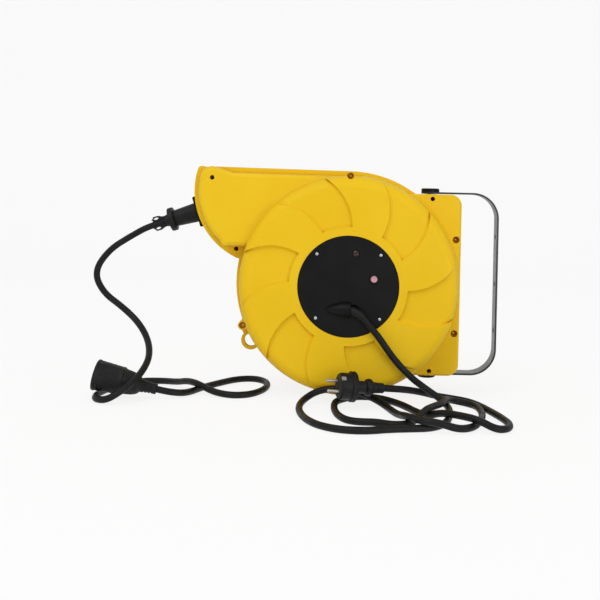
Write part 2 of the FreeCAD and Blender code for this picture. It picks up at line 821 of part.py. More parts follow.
upright_turns("reset_button", [(d.button_x, d.button_z)], [
    (0, button_back), (d.button_radius, button_back), (d.button_radius, d.half_depth + 0.7),
    (d.button_radius - 0.8, d.half_depth + 1.5), (0, d.half_depth + 1.5)])


def coil(label, x, z, low, high, radius, wire, turns):
    """A spring of square wire that stands along the drum's axis between two depths."""
    length = high.value - low.value - 2 * wire
    helix = Part.makeHelix(length / turns, length, radius)
    corners = [Vector(radius + across * wire, 0, up * wire)
               for across, up in ((-1, -1), (1, -1), (1, 1), (-1, 1), (-1, -1))]
    piece = doc.addObject("Part::Feature", label)
    piece.Shape = Part.Wire(helix).makePipeShell([Part.makePolygon(corners)], True, True)
    return settle(piece, label, x, -(low + wire), z, FreeCAD.Rotation(Vector(1, 0, 0), 90))


coil("reset_spring", d.button_x, d.button_z, breaker_top, button_back,
     d.button_radius.value - 1.2, 0.35, 2)

# Terminal block on the brush holder

holder_face = d.well_floor + 3 + 4
terminal = new_body("terminal_block")
add_slab(terminal, FRONT, holder_face, holder_face + 12, lambda s: draw_box(s, -38, 4, -14, 24))
cut_slab(terminal, FRONT, holder_face + 5, holder_face + 12, lambda s: draw_circles(
    s, [(-33, 14), (-26, 14), (-19, 14)], 2.2))

# Axle with its washer and nut at the rear

drum_side = d.drum_half_width + d.drum_plate
drum_turned("axle", [(0, d.well_floor + 6), (d.axle_radius, d.well_floor + 6),
                     (d.axle_radius, -hub_plate), (d.axle_radius - 2, -hub_plate),
                     (d.axle_radius - 2, -(hub_plate + 6.6)), (0, -(hub_plate + 6.6))])
drum_turned("axle_washer", ring_profile(d.axle_radius - 1.7, d.axle_radius + 6,
                                        -(hub_plate + 1.5), -hub_plate))


def hexagon(sketch, x, y, across):
    """A hexagon by its width across corners."""
    draw_outline(sketch, [(x + across / 2 * cosine(60 * k), y + across / 2 * sine(60 * k))
                          for k in range(6)])


nut = new_body("axle_nut")
add_slab(nut, REAR, hub_plate + 1.5, hub_plate + 6.3, lambda s: (
    hexagon(s, 0, 0, as_size(22)), draw_circle(s, 0, 0, d.axle_radius - 1.7)))

# Drum that turns on the axle

bush_outer = d.axle_radius + d.play + d.bush_wall
hub_outer = bush_outer + d.hub_wall
drum = new_body("drum_core")
half = d.drum_half_width
sketch = new_sketch(drum, "XY")
draw_outline(sketch, [
    (bush_outer, -half), (hub_outer, -half), (hub_outer, -2), (d.core_radius - d.core_wall, -2),
    (d.core_radius - d.core_wall, -half), (d.core_radius, -half), (d.core_radius, half),
    (d.core_radius - d.core_wall, half), (d.core_radius - d.core_wall, 2), (hub_outer, 2),
    (hub_outer, half), (bush_outer, half)])
revolve(drum, sketch)
rib = add_slab(drum, REAR, 2, half - 3, lambda s: draw_box(
    s, hub_outer - 1, -1.5, d.core_radius - d.core_wall + 1, 1.5))
repeat(drum, rib, "Y", 6)

bushes = new_body("drum_bushes")
for side in (1, -1):
    sketch = new_sketch(bushes, "XY")
    draw_outline(sketch, ring_profile(d.axle_radius + d.play, bush_outer - 0.1,
                                      side * (half - 18), side * half))
    revolve(bushes, sketch)

for label, side in (("drum_front_plate", 1), ("drum_rear_plate", -1)):
    inner = hub_outer + 1
    drum_turned(label, [
        (inner, side * half), (d.drum_radius, side * half),
        (d.drum_radius, side * (drum_side + 3)), (d.drum_radius - 3, side * (drum_side + 3)),
        (d.drum_radius - 3, side * drum_side), (inner, side * drum_side)])
drum_turned("wound_cord", ring_profile(d.core_radius + 0.2, d.winding_radius,
                                       -(half - 0.2), half - 0.2))

# Mainspring in its case, and the ratchet round the case

case_face = drum_side + d.case_depth
case_inner = d.case_radius - d.case_wall
case_bore = d.arbor_radius + 1.5
drum_turned("spring_case", [
    (case_bore, -drum_side), (d.case_radius, -drum_side), (d.case_radius, -case_face),
    (case_inner, -case_face), (case_inner, -(drum_side + d.case_wall)),
    (case_bore, -(drum_side + d.case_wall))])
drum_turned("spring_cover", ring_profile(case_bore, d.case_radius,
                                         -(case_face + d.case_wall), -case_face))
drum_turned("spring_arbor", ring_profile(d.axle_radius + 0.1, d.arbor_radius,
                                         -(hub_plate - 8.3), -(drum_side + 0.5)))

spring = new_body("mainspring")
pitch = (case_inner - 2 - d.arbor_radius - d.spring_strip) / d.spring_turns
spring_start = d.arbor_radius + d.spring_strip + 0.5
low_spring = drum_side + d.case_wall + 1
reaches = [spring_start + pitch / 2 * k for k in range(2 * int(d.spring_turns.value) + 1)]
ways = [1 if k % 2 == 0 else -1 for k in range(len(reaches))]
spiral = [(ways[0] * reaches[0], 0)]
for k in range(1, len(reaches)):
    spiral.append((ways[k] * reaches[k], 0, (reaches[k] + reaches[k - 1]) / 2, -1))
spiral.append((ways[-1] * (reaches[-1] - d.spring_strip), 0))
for k in range(len(reaches) - 2, -1, -1):
    spiral.append((ways[k] * (reaches[k] - d.spring_strip), 0,
                   (reaches[k] + reaches[k + 1]) / 2 - d.spring_strip, 1))
add_slab(spring, REAR, low_spring, case_face - 1, lambda s: draw_outline(s, spiral))

ratchet = new_body("ratchet_ring")
step = 360 / d.ratchet_teeth


def ratchet_outline(sketch):
    """Saw teeth outside, and the bore that sits on the spring case."""
    points = []
    for k in range(int(d.ratchet_teeth.value)):
        start = 7 + step * k
        points.append(polar(d.ratchet_radius - d.tooth_depth, start + 1))
        points.append(polar(d.ratchet_radius, start + step))
    draw_outline(sketch, points)
    draw_circle(sketch, 0, 0, d.case_radius + 0.1)


add_slab(ratchet, REAR, drum_side + 1, drum_side + 1 + d.ratchet_width, ratchet_outline)

# Slip rings on the drum's front, and the fixed brushes that press on them

hub_front = drum_side + d.ring_hub_depth
drum_turned("slip_ring_hub", ring_profile(hub_outer + 1.2, d.ring_hub_radius, drum_side, hub_front))
ring_face = hub_front + 2
rings = new_body("slip_rings")
for k in range(3):
    inner = d.first_ring + d.ring_pitch * k
    sketch = new_sketch(rings, "XY")
    draw_outline(sketch, [(r, -as_size(y)) for r, y in ring_profile(
        inner, inner + d.ring_width, hub_front, ring_face)])
    revolve(rings, sketch)

cup_floor = d.well_floor + 3
towers = [polar(*brush_place(*brush)) for brush in BRUSHES]
holder = new_body("brush_holder")
add_slab(holder, FRONT, cup_floor, holder_face, lambda s: (
    draw_circle(s, 0, 0, 46), draw_circle(s, 0, 0, d.axle_radius + 0.2),
    draw_circles(s, towers, d.brush_radius + 0.2)))
add_slab(holder, FRONT, holder_face, holder_face + 7, lambda s: draw_circles(
    s, towers, d.brush_radius + 2.5))
cut_slab(holder, FRONT, cup_floor - 1, holder_face + 5, lambda s: draw_circles(
    s, towers, d.brush_radius + 0.2))
upright_turns("brushes", towers, [(0, ring_face + 0.3), (d.brush_radius, ring_face + 0.3),
                                  (d.brush_radius, holder_face + 4), (0, holder_face + 4)])

# Pawl on its pin, and the light spring that holds it clear of the teeth

pawl_z = d.pawl_place
pawl_low = drum_side + 1.3
pawl_high = pawl_low + 5.5
pawl_hole = d.pawl_bore + d.play
pawl = new_body("pawl", 0, 0, pawl_z)
add_slab(pawl, REAR, pawl_low, pawl_high, lambda s: draw_outline(s, [
    (7, 0, 7, -1), (0, 7, 7, -1), (-7, 0, 7, -1), (-22.4, -16.4), (-26.6, -20.4),
    (-24.0, -22.0), (0, -7)]))
cut_slab(pawl, REAR, pawl_low - 1, pawl_high + 1, lambda s: draw_circle(s, 0, 0, pawl_hole))
pin_end = inner_face - 0.1
upright_turns("pawl_pin", [(0, pawl_z)], [
    (0, -(drum_side + 0.8)), (d.pawl_bore, -(drum_side + 0.8)), (d.pawl_bore, -pin_end + 12),
    (d.pawl_bore + 3, -pin_end + 8), (d.pawl_bore + 3, -pin_end), (0, -pin_end)])
coil("pawl_spring", as_size(0), pawl_z, -(pawl_high + 12), -(pawl_high + 0.4),
     d.pawl_bore.value + 1.2, 0.5, 4)

# Swivel bracket with its bolts, washers, nuts and caps

strap_in = d.block_height + d.pivot_gap
strap_out = strap_in + d.strap_thick
bar_in = d.bracket_reach - d.strap_thick
half_strap = d.strap_width / 2
corner_in = d.bracket_corner - d.strap_thick
bracket = new_body("bracket")
sketch = new_sketch(bracket, "XZ")
turn = d.bracket_reach - d.bracket_corner
rise = strap_out - d.bracket_corner
draw_outline(sketch, [
    (d.pivot_x, -strap_out), (turn, -strap_out), (d.bracket_reach, -rise, d.bracket_corner, -1),
    (d.bracket_reach, rise), (turn, strap_out, d.bracket_corner, -1), (d.pivot_x, strap_out),
    (d.pivot_x, strap_in), (turn, strap_in), (bar_in, rise, corner_in, 1), (bar_in, -rise),
    (turn, -strap_in, corner_in, 1), (d.pivot_x, -strap_in)])
pad(bracket, sketch, d.strap_width, both=True)
for end in (1, -1):
    low = strap_in if end > 0 else -strap_out
    sketch = new_sketch(bracket, "XY", low, d.pivot_x, 0)
    draw_circle(sketch, 0, 0, half_strap)
    pad(bracket, sketch, d.strap_thick)
sketch = new_sketch(bracket, "XY", strap_out + 1, d.pivot_x, 0)
draw_circle(sketch, 0, 0, d.pivot_bolt + d.play)
pocket(bracket, sketch, 2 * strap_out + 2)
sketch = new_sketch(bracket, "YZ", d.bracket_reach + 1)
draw_circles(sketch, [(0, -d.wall_hole_pitch), (0, 0), (0, d.wall_hole_pitch)], d.wall_hole)
pocket(bracket, sketch, d.strap_thick + 2)


def on_pivots(label, profile):
    """The same turned piece on both pivots; the profile's points are (radius, height)."""
    body = new_body(label, d.pivot_x)
    for end in (1, -1):
        sketch = new_sketch(body, "XZ")
        draw_outline(sketch, [(r, end * as_size(z)) for r, z in profile])
        revolve(body, sketch)
    return body


bolt_tip = strap_out + 4.2
on_pivots("pivot_bolts", [
    (0, pivot_shelf), (pivot_head, pivot_shelf), (pivot_head, pivot_shelf + pivot_head_thick),
    (d.pivot_bolt, pivot_shelf + pivot_head_thick), (d.pivot_bolt, bolt_tip), (0, bolt_tip)])
on_pivots("pivot_washers", ring_profile(d.pivot_bolt + d.play, 10, d.block_height, strap_in - 0.3))
nuts = new_body("pivot_nuts", d.pivot_x)
for end in (1, -1):
    low = strap_out + 0.3 if end > 0 else -(strap_out + 3.8)
    sketch = new_sketch(nuts, "XY", low)
    hexagon(sketch, as_size(0), as_size(0), as_size(15))
    draw_circle(sketch, 0, 0, d.pivot_bolt + 0.1)
    pad(nuts, sketch, 3.5)
cap_top = strap_out + d.cap_height
on_pivots("pivot_caps", [
    (d.cap_radius - 2, strap_out), (d.cap_radius, strap_out), (d.cap_radius, cap_top - 1.5),
    (d.cap_radius - 1.5, cap_top), (0, cap_top), (0, cap_top - 1.4),
    (d.cap_radius - 2, cap_top - 1.4)])

# Cable guide in the mouth; its own X points out of the casing and its own Z down

guide_turn = FreeCAD.Rotation(Vector(0, 1, 0), 180 - d.mouth_angle.value)


def guide_body(label):
    """A body that stands in the cable mouth."""
    return new_body(label, mouth_x, 0, mouth_z, guide_turn)


plate_face = d.guide_plate + 0.5
half_high = d.guide_height / 2
edge_x = root(d.lip_radius * d.lip_radius - half_high * half_high) - d.lip_radius
guide = guide_body("guide_frame")
sketch = new_sketch(guide, "XZ")
draw_outline(sketch, [
    (edge_x, -half_high), (plate_face - 1.5, -half_high), (plate_face, -half_high + 1.5),
    (plate_face, half_high - 1.5), (plate_face - 1.5, half_high), (edge_x, half_high)])
pad(guide, sketch, d.guide_width, both=True)
sketch = new_sketch(guide, "XZ", 0, -d.lip_radius, 0)
draw_circle(sketch, 0, 0, d.lip_radius)
pocket(guide, sketch, d.guide_width + 2, both=True)
sketch = new_sketch(guide, "YZ", -d.throat_depth)
draw_box(sketch, -d.throat / 2, -d.throat / 2, d.throat / 2, d.throat / 2)
pad(guide, sketch, d.throat_depth + 2)
sketch = new_sketch(guide, "YZ", 0)
draw_box(sketch, -throat_inner, -throat_inner, throat_inner, throat_inner)
pocket(guide, sketch, d.throat_depth)
sketch = new_sketch(guide, "YZ", plate_face)
draw_circle(sketch, 0, 0, 14)
pocket(guide, sketch, plate_face + 1)
sketch = new_sketch(guide, "XZ", d.throat / 2 + 1, first_roller, 0)
draw_circles(sketch, [(0, roller_place), (0, -roller_place)], roller_pin)
pocket(guide, sketch, d.throat + 2)
sketch = new_sketch(guide, "XY", d.throat / 2 + 1, second_roller, 0)
draw_circles(sketch, [(0, roller_place), (0, -roller_place)], roller_pin)
pocket(guide, sketch, d.throat + 2)

pins = guide_body("roller_pins")
for plane, place in (("XZ", first_roller), ("XY", second_roller)):
    sketch = new_sketch(pins, plane, 0, place, 0)
    draw_circles(sketch, [(0, roller_place), (0, -roller_place)], roller_pin - 0.1)
    pad(pins, sketch, d.throat, both=True)
for number, (plane, place, side) in enumerate((
        ("XZ", first_roller, 1), ("XZ", first_roller, -1),
        ("XY", second_roller, 1), ("XY", second_roller, -1)), start=1):
    roller = guide_body("guide_roller_%d" % number)
    sketch = new_sketch(roller, plane, 0, place, side * roller_place)
    draw_circle(sketch, 0, 0, d.roller_radius)
    draw_circle(sketch, 0, 0, roller_pin + d.play)
    pad(roller, sketch, d.roller_length, both=True)


def along_x(label, profile, place):
    """A body turned about its own X axis; the profile's points are (distance, radius)."""
    body = new_body(label, *place)
    sketch = new_sketch(body, "XY")
    draw_outline(sketch, profile)
    revolve(body, sketch, "H_Axis")
    return body


# Rubber stopper, collar and clamp on the cord outside the mouth

guide_place = (mouth_x, 0, mouth_z, guide_turn)
cord_bore = d.cord_radius + 0.1
cone_end = plate_face + d.stopper_length
collar_end = cone_end + d.collar_length
clamp_end = collar_end + d.clamp_length
along_x("stopper_cone", [
    (plate_face, cord_bore), (cone_end, cord_bore), (cone_end, d.stopper_small),
    (plate_face + 2, d.stopper_big), (plate_face, d.stopper_big - 2)], guide_place)
along_x("stopper_collar", [
    (cone_end, cord_bore), (collar_end, cord_bore), (collar_end, d.collar_radius - 1),
    (collar_end - 1, d.collar_radius), (cone_end + 1, d.collar_radius),
    (cone_end, d.collar_radius - 1)], guide_place)
clamp = along_x("stopper_clamp", [
    (collar_end, cord_bore), (collar_end + 7, cord_bore), (collar_end + 7, 8.5),
    (collar_end + 5, 10), (collar_end, 10)], guide_place)
for side in (1, -1):
    sketch = new_sketch(clamp, "XZ")
    draw_outline(sketch, [
        (collar_end, side * 3), (clamp_end - 4, side * 3), (clamp_end, side * 7.5, 5, side),
        (clamp_end - 5, side * 12, 5, side), (clamp_end - 13, side * 12),
        (clamp_end - 20, side * 9), (collar_end, side * 9)])
    draw_outline(sketch, [
        (clamp_end - 14, side * 8, 8, -side), (clamp_end - 4, side * 8.2, 8, -side)])
    pad(clamp, sketch, 8, both=True)
sketch = new_sketch(clamp, "YZ", clamp_end + 1)
draw_circle(sketch, 0, 0, cord_bore)
pocket(clamp, sketch, clamp_end - collar_end + 2)

# Plug; its own X points from its face to its tail

floor = -d.disc_radius
plug_turn = FreeCAD.Rotation(d.plug_yaw.value, d.plug_pitch.value, d.plug_roll.value)
plug_place = (d.plug_x, d.plug_y, floor + d.plug_rise, plug_turn)
plug = along_x("plug_body", [
    (0, 0), (d.plug_length, 0), (d.plug_length, 7.2), (64, 8.0), (63, 7.2), (61, 7.2),
    (60, 8.3), (55, 8.6), (53, 12.2), (50, 13.1), (46, 13.1), (43.5, 12), (42, 9.4), (28, 9.6),
    (26.5, 21.5), (25.5, 23), (18.5, 23), (17.5, 22), (17, 20.3), (3, 20.3), (0, 18)], plug_place)
half_pitch = d.pin_pitch / 2
sketch = new_sketch(plug, "YZ", 0)
pin_root = d.pin_radius - 0.3
draw_circles(sketch, [(half_pitch, 0), (-half_pitch, 0)], pin_root + 0.1)
pocket(plug, sketch, 12, away=True)
sketch = new_sketch(plug, "YZ", -1)
draw_box(sketch, -3.6, 17.6, 3.6, 24)
draw_box(sketch, -3.6, -24, 3.6, -17.6)
pocket(plug, sketch, 17, away=True)
pins = new_body("plug_pins", *plug_place)
for side in (1, -1):
    sketch = new_sketch(pins, "XY", 0, 0, side * half_pitch)
    draw_outline(sketch, [(12, 0), (12, pin_root), (-0.5, pin_root), (-0.5, d.pin_radius),
                          (-(d.pin_length - 1.5), d.pin_radius),
                          (-d.pin_length, d.pin_radius - 1), (-d.pin_length, 0)])
    revolve(pins, sketch, "H_Axis")
clips = new_body("plug_earth_clips", *plug_place)
sketch = new_sketch(clips, "YZ", 0.5)
draw_box(sketch, -3.3, 17.6, 3.3, 19.0)
draw_box(sketch, -3.3, -19.0, 3.3, -17.6)
pad(clips, sketch, 15.4)

# Coupling; its own X points from its face to its tail

coupling_turn = FreeCAD.Rotation(d.coupling_yaw.value, d.coupling_pitch.value, 0)
coupling_place = (d.coupling_x, d.coupling_y, floor + d.coupling_rise, coupling_turn)
ribs = []
for k in range(4):
    ribs += [(79 + 5 * k, 10 - k * 0.8), (79 + 5 * k, 8.6 - k * 0.6),
             (81 + 5 * k, 8.4 - k * 0.6), (81 + 5 * k, 9.7 - k * 0.8)]
coupling = along_x("coupling_body", [
    (d.socket_depth + 10, 0), (d.coupling_length, 0), (d.coupling_length, 6.9)] + ribs[::-1] + [
    (72, 10.4), (70, 13), (62, 16.5), (46, 19.6), (44, 20.2), (42, 21.6), (3, 24.2), (0, 23.2),
    (0, d.socket_radius), (d.socket_depth + 10, d.socket_radius)], coupling_place)
insert = along_x("coupling_insert", [
    (d.socket_depth, 0), (d.socket_depth + 10, 0), (d.socket_depth + 10, d.socket_radius - 0.1),
    (d.socket_depth, d.socket_radius - 0.1)], coupling_place)
sketch = new_sketch(insert, "YZ", d.socket_depth - 1)
draw_circles(sketch, [(half_pitch, 0), (-half_pitch, 0)], contact_outer + 0.1)
pocket(insert, sketch, 10.5, away=True)
contacts = new_body("coupling_contacts", *coupling_place)
sketch = new_sketch(contacts, "YZ", d.socket_depth + 0.5)
draw_circles(sketch, [(half_pitch, 0), (-half_pitch, 0)], contact_outer)
draw_circles(sketch, [(half_pitch, 0), (-half_pitch, 0)], d.pin_radius + 0.2)
pad(contacts, sketch, 9)
earth = new_body("coupling_earth_clips", *coupling_place)
sketch = new_sketch(earth, "YZ", 3)
draw_box(sketch, -2.5, d.socket_radius - 2.6, 2.5, d.socket_radius - 1.4)
draw_box(sketch, -2.5, -(d.socket_radius - 1.4), 2.5, -(d.socket_radius - 2.6))
pad(earth, sketch, d.socket_depth - 3)


# Cords: routes of hand-chosen points (x, y, height over the floor), rounded at each point

def cord_tube(label, route, radius):
    """A round cord of straight runs joined by tangent arcs."""
    points = [Vector(x, y, z) for x, y, z in route]
    edges = []
    start = points[0]
    tightest = 1e9
    for before, corner, after in zip(points, points[1:], points[2:]):
        come = corner - before
        leave = after - corner
        turn = come.getAngle(leave)
        reach = 0.45 * min(come.Length, leave.Length)
        tightest = min(tightest, reach / math.tan(turn / 2))
        first = corner - Vector(come).normalize() * reach
        last = corner + Vector(leave).normalize() * reach
        sag = reach * math.tan(turn / 4)
        inward = (first + last) * 0.5 - corner
        middle = (first + last) * 0.5 - inward.normalize() * sag
        edges.append(Part.LineSegment(start, first).toShape())
        edges.append(Part.Arc(first, middle, last).toShape())
        start = last
    edges.append(Part.LineSegment(start, points[-1]).toShape())
    path = Part.Wire(edges)
    ring = Part.Wire(Part.Circle(points[0], points[1] - points[0], radius.value).toShape())
    tube = path.makePipeShell([ring], True, True)
    piece = doc.addObject("Part::Feature", label)
    piece.Shape = tube
    settle(piece, label)
    print("%s: length %.0f, tightest arc %.0f, volume over section times length %.4f" % (
        label, path.Length, tightest,
        tube.Volume / (math.pi * radius.value ** 2 * path.Length)))
    return piece


def over_floor(route):
    """Heights over the floor as places about the drum's axis."""
    return [(x, y, height + floor.value) for x, y, height in route]


def at_place(place, distance):
    """The point at a distance along the X axis of a placed piece."""
    x, y, z, rotation = place
    along = rotation.multVec(Vector(distance, 0, 0))
    return (as_size(x).value + along.x, as_size(y).value + along.y, as_size(z).value + along.z)


OUTPUT_ROUTE = [
    (-364, 0, 247.5), (-400, 0, 224), (-424, -1, 187), (-408, -3, 153), (-372, -8, 129),
    (-342, -22, 106), (-321, -46, 82), (-312, -76, 62), (-315, -103, 46), (-326, -125, 31),
    (-342, -139, 18.7), (-361, -147, 7.3), (-382, -133, 5.3), (-388.5, -102, 5.3), (-382, -66, 5.3),
    (-370, -24, 5.3), (-343, 5, 5.3), (-307, 9, 5.3), (-278, -14, 8.8), (-257, -38, 16.3),
    (-236, -60, 16.3), (-211, -76, 7.7), (-181, -88, 5.3), (-153, -80, 5.3), (-136, -52, 5.3),
    (-128.5, -14, 5.3), (-135, 23, 5.3), (-157, 44, 5.3), (-186, 36, 5.3), (-211, 2, 5.3),
    (-235, -37, 5.3), (-246.5, -70, 5.7), (-258.5, -91.5, 7.9),
]
SUPPLY_ROUTE = [
    (47, -112, 109), (71, -115, 74.5), (99, -112, 45), (124, -105, 26.2), (145, -110, 13.2),
    (156, -132, 5.7), (155, -165, 5.3), (149, -204, 5.3), (139, -236, 5.3), (118, -259, 5.3),
    (88, -264, 5.3), (60, -269, 5.3), (29, -281, 5.3), (-7, -279, 5.3), (-37, -259, 5.3),
    (-56, -228, 5.3), (-67, -190, 5.3), (-71, -152, 5.3), (-66, -118, 7.7), (-45, -102, 18.7),
    (-14, -108, 25.3), (16, -112, 21.7), (43, -120, 13.2), (61, -139, 6.1), (70, -170, 5.5),
    (77, -206, 9.4), (85, -240, 16.6), (102, -264, 16.6), (128, -270, 15.5), (155, -268, 6.6),
    (178, -250, 5.3), (191, -218, 5.3), (200, -187, 5.3), (203, -158, 5.3), (201.5, -125, 5.3),
    (188, -106, 5.5), (169, -103, 8.3), (155, -116, 13.2), (150, -138, 16.8), (143, -159, 16.3),
    (129, -178, 16.3), (115, -199, 16), (101, -221, 7.7), (87, -241, 5.3), (65, -246, 5.3),
    (43, -233, 5.3), (20, -234, 5.3), (1, -226, 5.3), (-11, -201, 5.3), (-17, -168, 5.3),
    (-18, -137, 5.3), (-15, -113, 5.7), (1, -102, 8.8), (24, -101, 11.6), (52, -98, 8.8),
    (77, -111, 5.5), (92, -138, 5.3), (104, -168, 5.3), (119, -190, 5.3), (138, -208, 14.9),
    (162, -231, 16.6), (184, -251, 16.3), (207, -264, 6.6), (226, -254, 5.3), (233, -228, 5.3),
    (227, -192, 5.3), (217, -156, 5.3), (206, -120, 5.3), (191, -91, 5.3), (168, -74, 5.3),
    (141, -78, 9.9), (120, -94, 18.2), (100, -105, 23.5),
]

sleeve_axis = -d.inlet_level.value
sleeve_mouth = Vector(d.inlet_mouth.value - 12, sleeve_axis, -d.inlet_z.value)
sleeve_tip = Vector(23.4, -112, -45.8)


def inlet_sleeve():
    """The rubber sleeve that bends the supply cord down as it leaves the hood."""
    elbow = Vector(d.inlet_mouth.value + 4, sleeve_axis - 1.8, -d.inlet_z.value + 0.2)
    leave = (Vector(47, -112, 109 + floor.value) - sleeve_tip).normalize()
    edge = Part.BSplineCurve()
    edge.interpolate([sleeve_mouth, elbow, sleeve_tip],
                     InitialTangent=Vector(1, 0, 0), FinalTangent=leave)
    path = Part.Wire(edge.toShape())
    outer = Part.Wire(Part.Circle(sleeve_mouth, Vector(1, 0, 0), d.sleeve_radius.value).toShape())
    tip = Part.Wire(Part.Circle(sleeve_tip, leave, d.sleeve_tip.value).toShape())
    piece = doc.addObject("Part::Feature", "inlet_sleeve")
    piece.Shape = path.makePipeShell([outer, tip], True, True)
    settle(piece, "inlet_sleeve")


inlet_sleeve()
supply_start = (sleeve_tip.x, sleeve_tip.y, sleeve_tip.z)
plug_length = d.plug_length.value
# A cord ends just short of the tail that it enters, because its swept end isn't quite square
cord_seat = 0.2
plug_tail = at_place(plug_place, plug_length + cord_seat)
supply_points = ([supply_start] + over_floor(SUPPLY_ROUTE)
                 + [at_place(plug_place, plug_length + 23), plug_tail])
cord_tube("supply_cord", supply_points, d.cord_radius)

coupling_length = d.coupling_length.value
coupling_tail = [at_place(coupling_place, coupling_length + 16),
                 at_place(coupling_place, coupling_length + cord_seat)]
cord_start = at_place(guide_place, collar_end.value + 2)
cord_exit = at_place(guide_place, clamp_end.value + 4)
output_points = [cord_start, cord_exit] + over_floor(OUTPUT_ROUTE) + coupling_tail
cord_tube("output_cord", output_points, d.cord_radius)

drum_top = d.winding_radius.value + d.cord_radius.value + 0.1
lead_points = [cord_start, at_place(guide_place, -45), (-112, 0, drum_top - 6.5), (-14, 0, drum_top)]
cord_tube("lead_cord", lead_points, d.cord_radius)

doc.recompute()

# Check every object, then write one file for each piece

faults = []
for thing in doc.Objects:
    if "Invalid" in thing.State or "Error" in thing.State:
        faults.append("%s failed: %s" % (thing.Label, thing.getStatusString()))
    if thing.TypeId == "Sketcher::SketchObject" and not thing.FullyConstrained:
        faults.append("%s is loose" % thing.Name)
for piece in nodes:
    if piece.Shape.isNull() or not piece.Shape.isValid():
        faults.append("%s has a bad shape" % piece.Label)
if faults:
    raise SystemExit("\n".join(faults))

for piece in nodes:
    shape = piece.Shape
    box = shape.optimalBoundingBox()
    print("%-18s %2d solids %9.0f mm3  X %6.1f %6.1f  Y %6.1f %6.1f  Z %6.1f %6.1f" % (
        piece.Label, len(shape.Solids), shape.Volume,
        box.XMin, box.XMax, box.YMin, box.YMax, box.ZMin, box.ZMax))
    shape.exportStep("parts/%s.step" % piece.Label)
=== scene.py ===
import json
import math

import bpy
import numpy as np
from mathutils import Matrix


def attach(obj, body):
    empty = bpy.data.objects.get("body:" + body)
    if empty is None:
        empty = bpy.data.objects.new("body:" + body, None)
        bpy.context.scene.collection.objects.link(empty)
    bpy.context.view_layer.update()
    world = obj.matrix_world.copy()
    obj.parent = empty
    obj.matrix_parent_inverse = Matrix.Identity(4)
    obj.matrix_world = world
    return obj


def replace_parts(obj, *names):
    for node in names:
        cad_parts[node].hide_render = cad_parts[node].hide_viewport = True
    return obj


# A spring-return extension cord reel on its swivel bracket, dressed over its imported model.
# Lengths are in metres. X runs from the cable mouth to the wall bracket, Y away from the
# hub cover, Z up from the floor.

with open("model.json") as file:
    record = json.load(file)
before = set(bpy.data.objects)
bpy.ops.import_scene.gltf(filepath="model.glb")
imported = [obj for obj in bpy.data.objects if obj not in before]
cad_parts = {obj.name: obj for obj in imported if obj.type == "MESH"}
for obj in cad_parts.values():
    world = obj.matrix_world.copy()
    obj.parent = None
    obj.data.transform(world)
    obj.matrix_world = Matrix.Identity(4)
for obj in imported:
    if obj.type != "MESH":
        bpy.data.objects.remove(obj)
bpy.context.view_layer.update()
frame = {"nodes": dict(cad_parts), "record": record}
nodes = frame["nodes"]

HUB = np.array([0.006, 0.008, 0.1815])


# The camera stands where the photograph was taken from, square to the hub cover

CAMERA_PLACE = (-0.0024, -1.492, 0.3271)
CAMERA_ROLL = -1.3
FOCAL_LENGTH = 53.9
SENSOR_WIDTH = 36.0
SHIFT_X, SHIFT_Y = -0.075, -0.178


def make_camera():
    """A camera 1.5 m in front of the casing's split plane, rolled a little."""
    lens = bpy.data.cameras.new("photo_camera")
    lens.lens = FOCAL_LENGTH
    lens.sensor_width = SENSOR_WIDTH
    lens.shift_x, lens.shift_y = SHIFT_X, SHIFT_Y
    camera = bpy.data.objects.new("photo_camera", lens)
    bpy.context.scene.collection.objects.link(camera)
    camera.location = CAMERA_PLACE
    camera.rotation_euler = (math.radians(90), math.radians(CAMERA_ROLL), 0)
    bpy.context.scene.camera = camera


make_camera()


# Shader helpers

def srgb(code):
    """A hex colour as linear red, green, blue and one."""
    parts = np.array([int(code[k:k + 2], 16) / 255 for k in (0, 2, 4)])
    linear = np.where(parts <= 0.04045, parts / 12.92, ((parts + 0.055) / 1.055) ** 2.4)
    return (*map(float, linear), 1.0)


def add(tree, kind, links=None, values=None, **settings):
    """One shader node with its settings, its sockets' own values and the links into it."""
    node = tree.nodes.new("ShaderNode" + kind)
    for name, value in settings.items():
        setattr(node, name, value)
    for name, value in (values or {}).items():
        node.inputs[name].default_value = value
    for name, source in (links or {}).items():
        tree.links.new(source, node.inputs[name])
    return node


def surface(name, colour, roughness, metallic=0.0, sheen=0.5):
    """A named material with its shader, and its tree and Object coordinates to build on."""
    material = bpy.data.materials.new(name)
    material.use_nodes = True
    tree = material.node_tree
    shader = tree.nodes["Principled BSDF"]
    shader.inputs["Base Color"].default_value = srgb(colour)
    shader.inputs["Roughness"].default_value = roughness
    shader.inputs["Metallic"].default_value = metallic
    shader.inputs["Specular IOR Level"].default_value = sheen
    where = add(tree, "TexCoord").outputs["Object"]
    return material, tree, shader, where


def mottle(tree, where, scale, low, high):
    """Noise at a scale per metre, spread over a range of values."""
    noise = add(tree, "TexNoise", {"Vector": where}, {"Scale": scale, "Detail": 3.0})
    spread = add(tree, "MapRange", {"Value": noise.outputs["Fac"]},
                 {"From Min": 0.3, "From Max": 0.7, "To Min": low, "To Max": high})
    return spread.outputs["Result"]


def tint(tree, shader, amount, dark, light):
    """Colour the shader between two hex colours by an amount from 0 to 1."""
    mix = add(tree, "Mix", {"Factor": amount}, data_type="RGBA")
    mix.inputs["A"].default_value = srgb(dark)
    mix.inputs["B"].default_value = srgb(light)
    tree.links.new(mix.outputs["Result"], shader.inputs["Base Color"])
    return mix


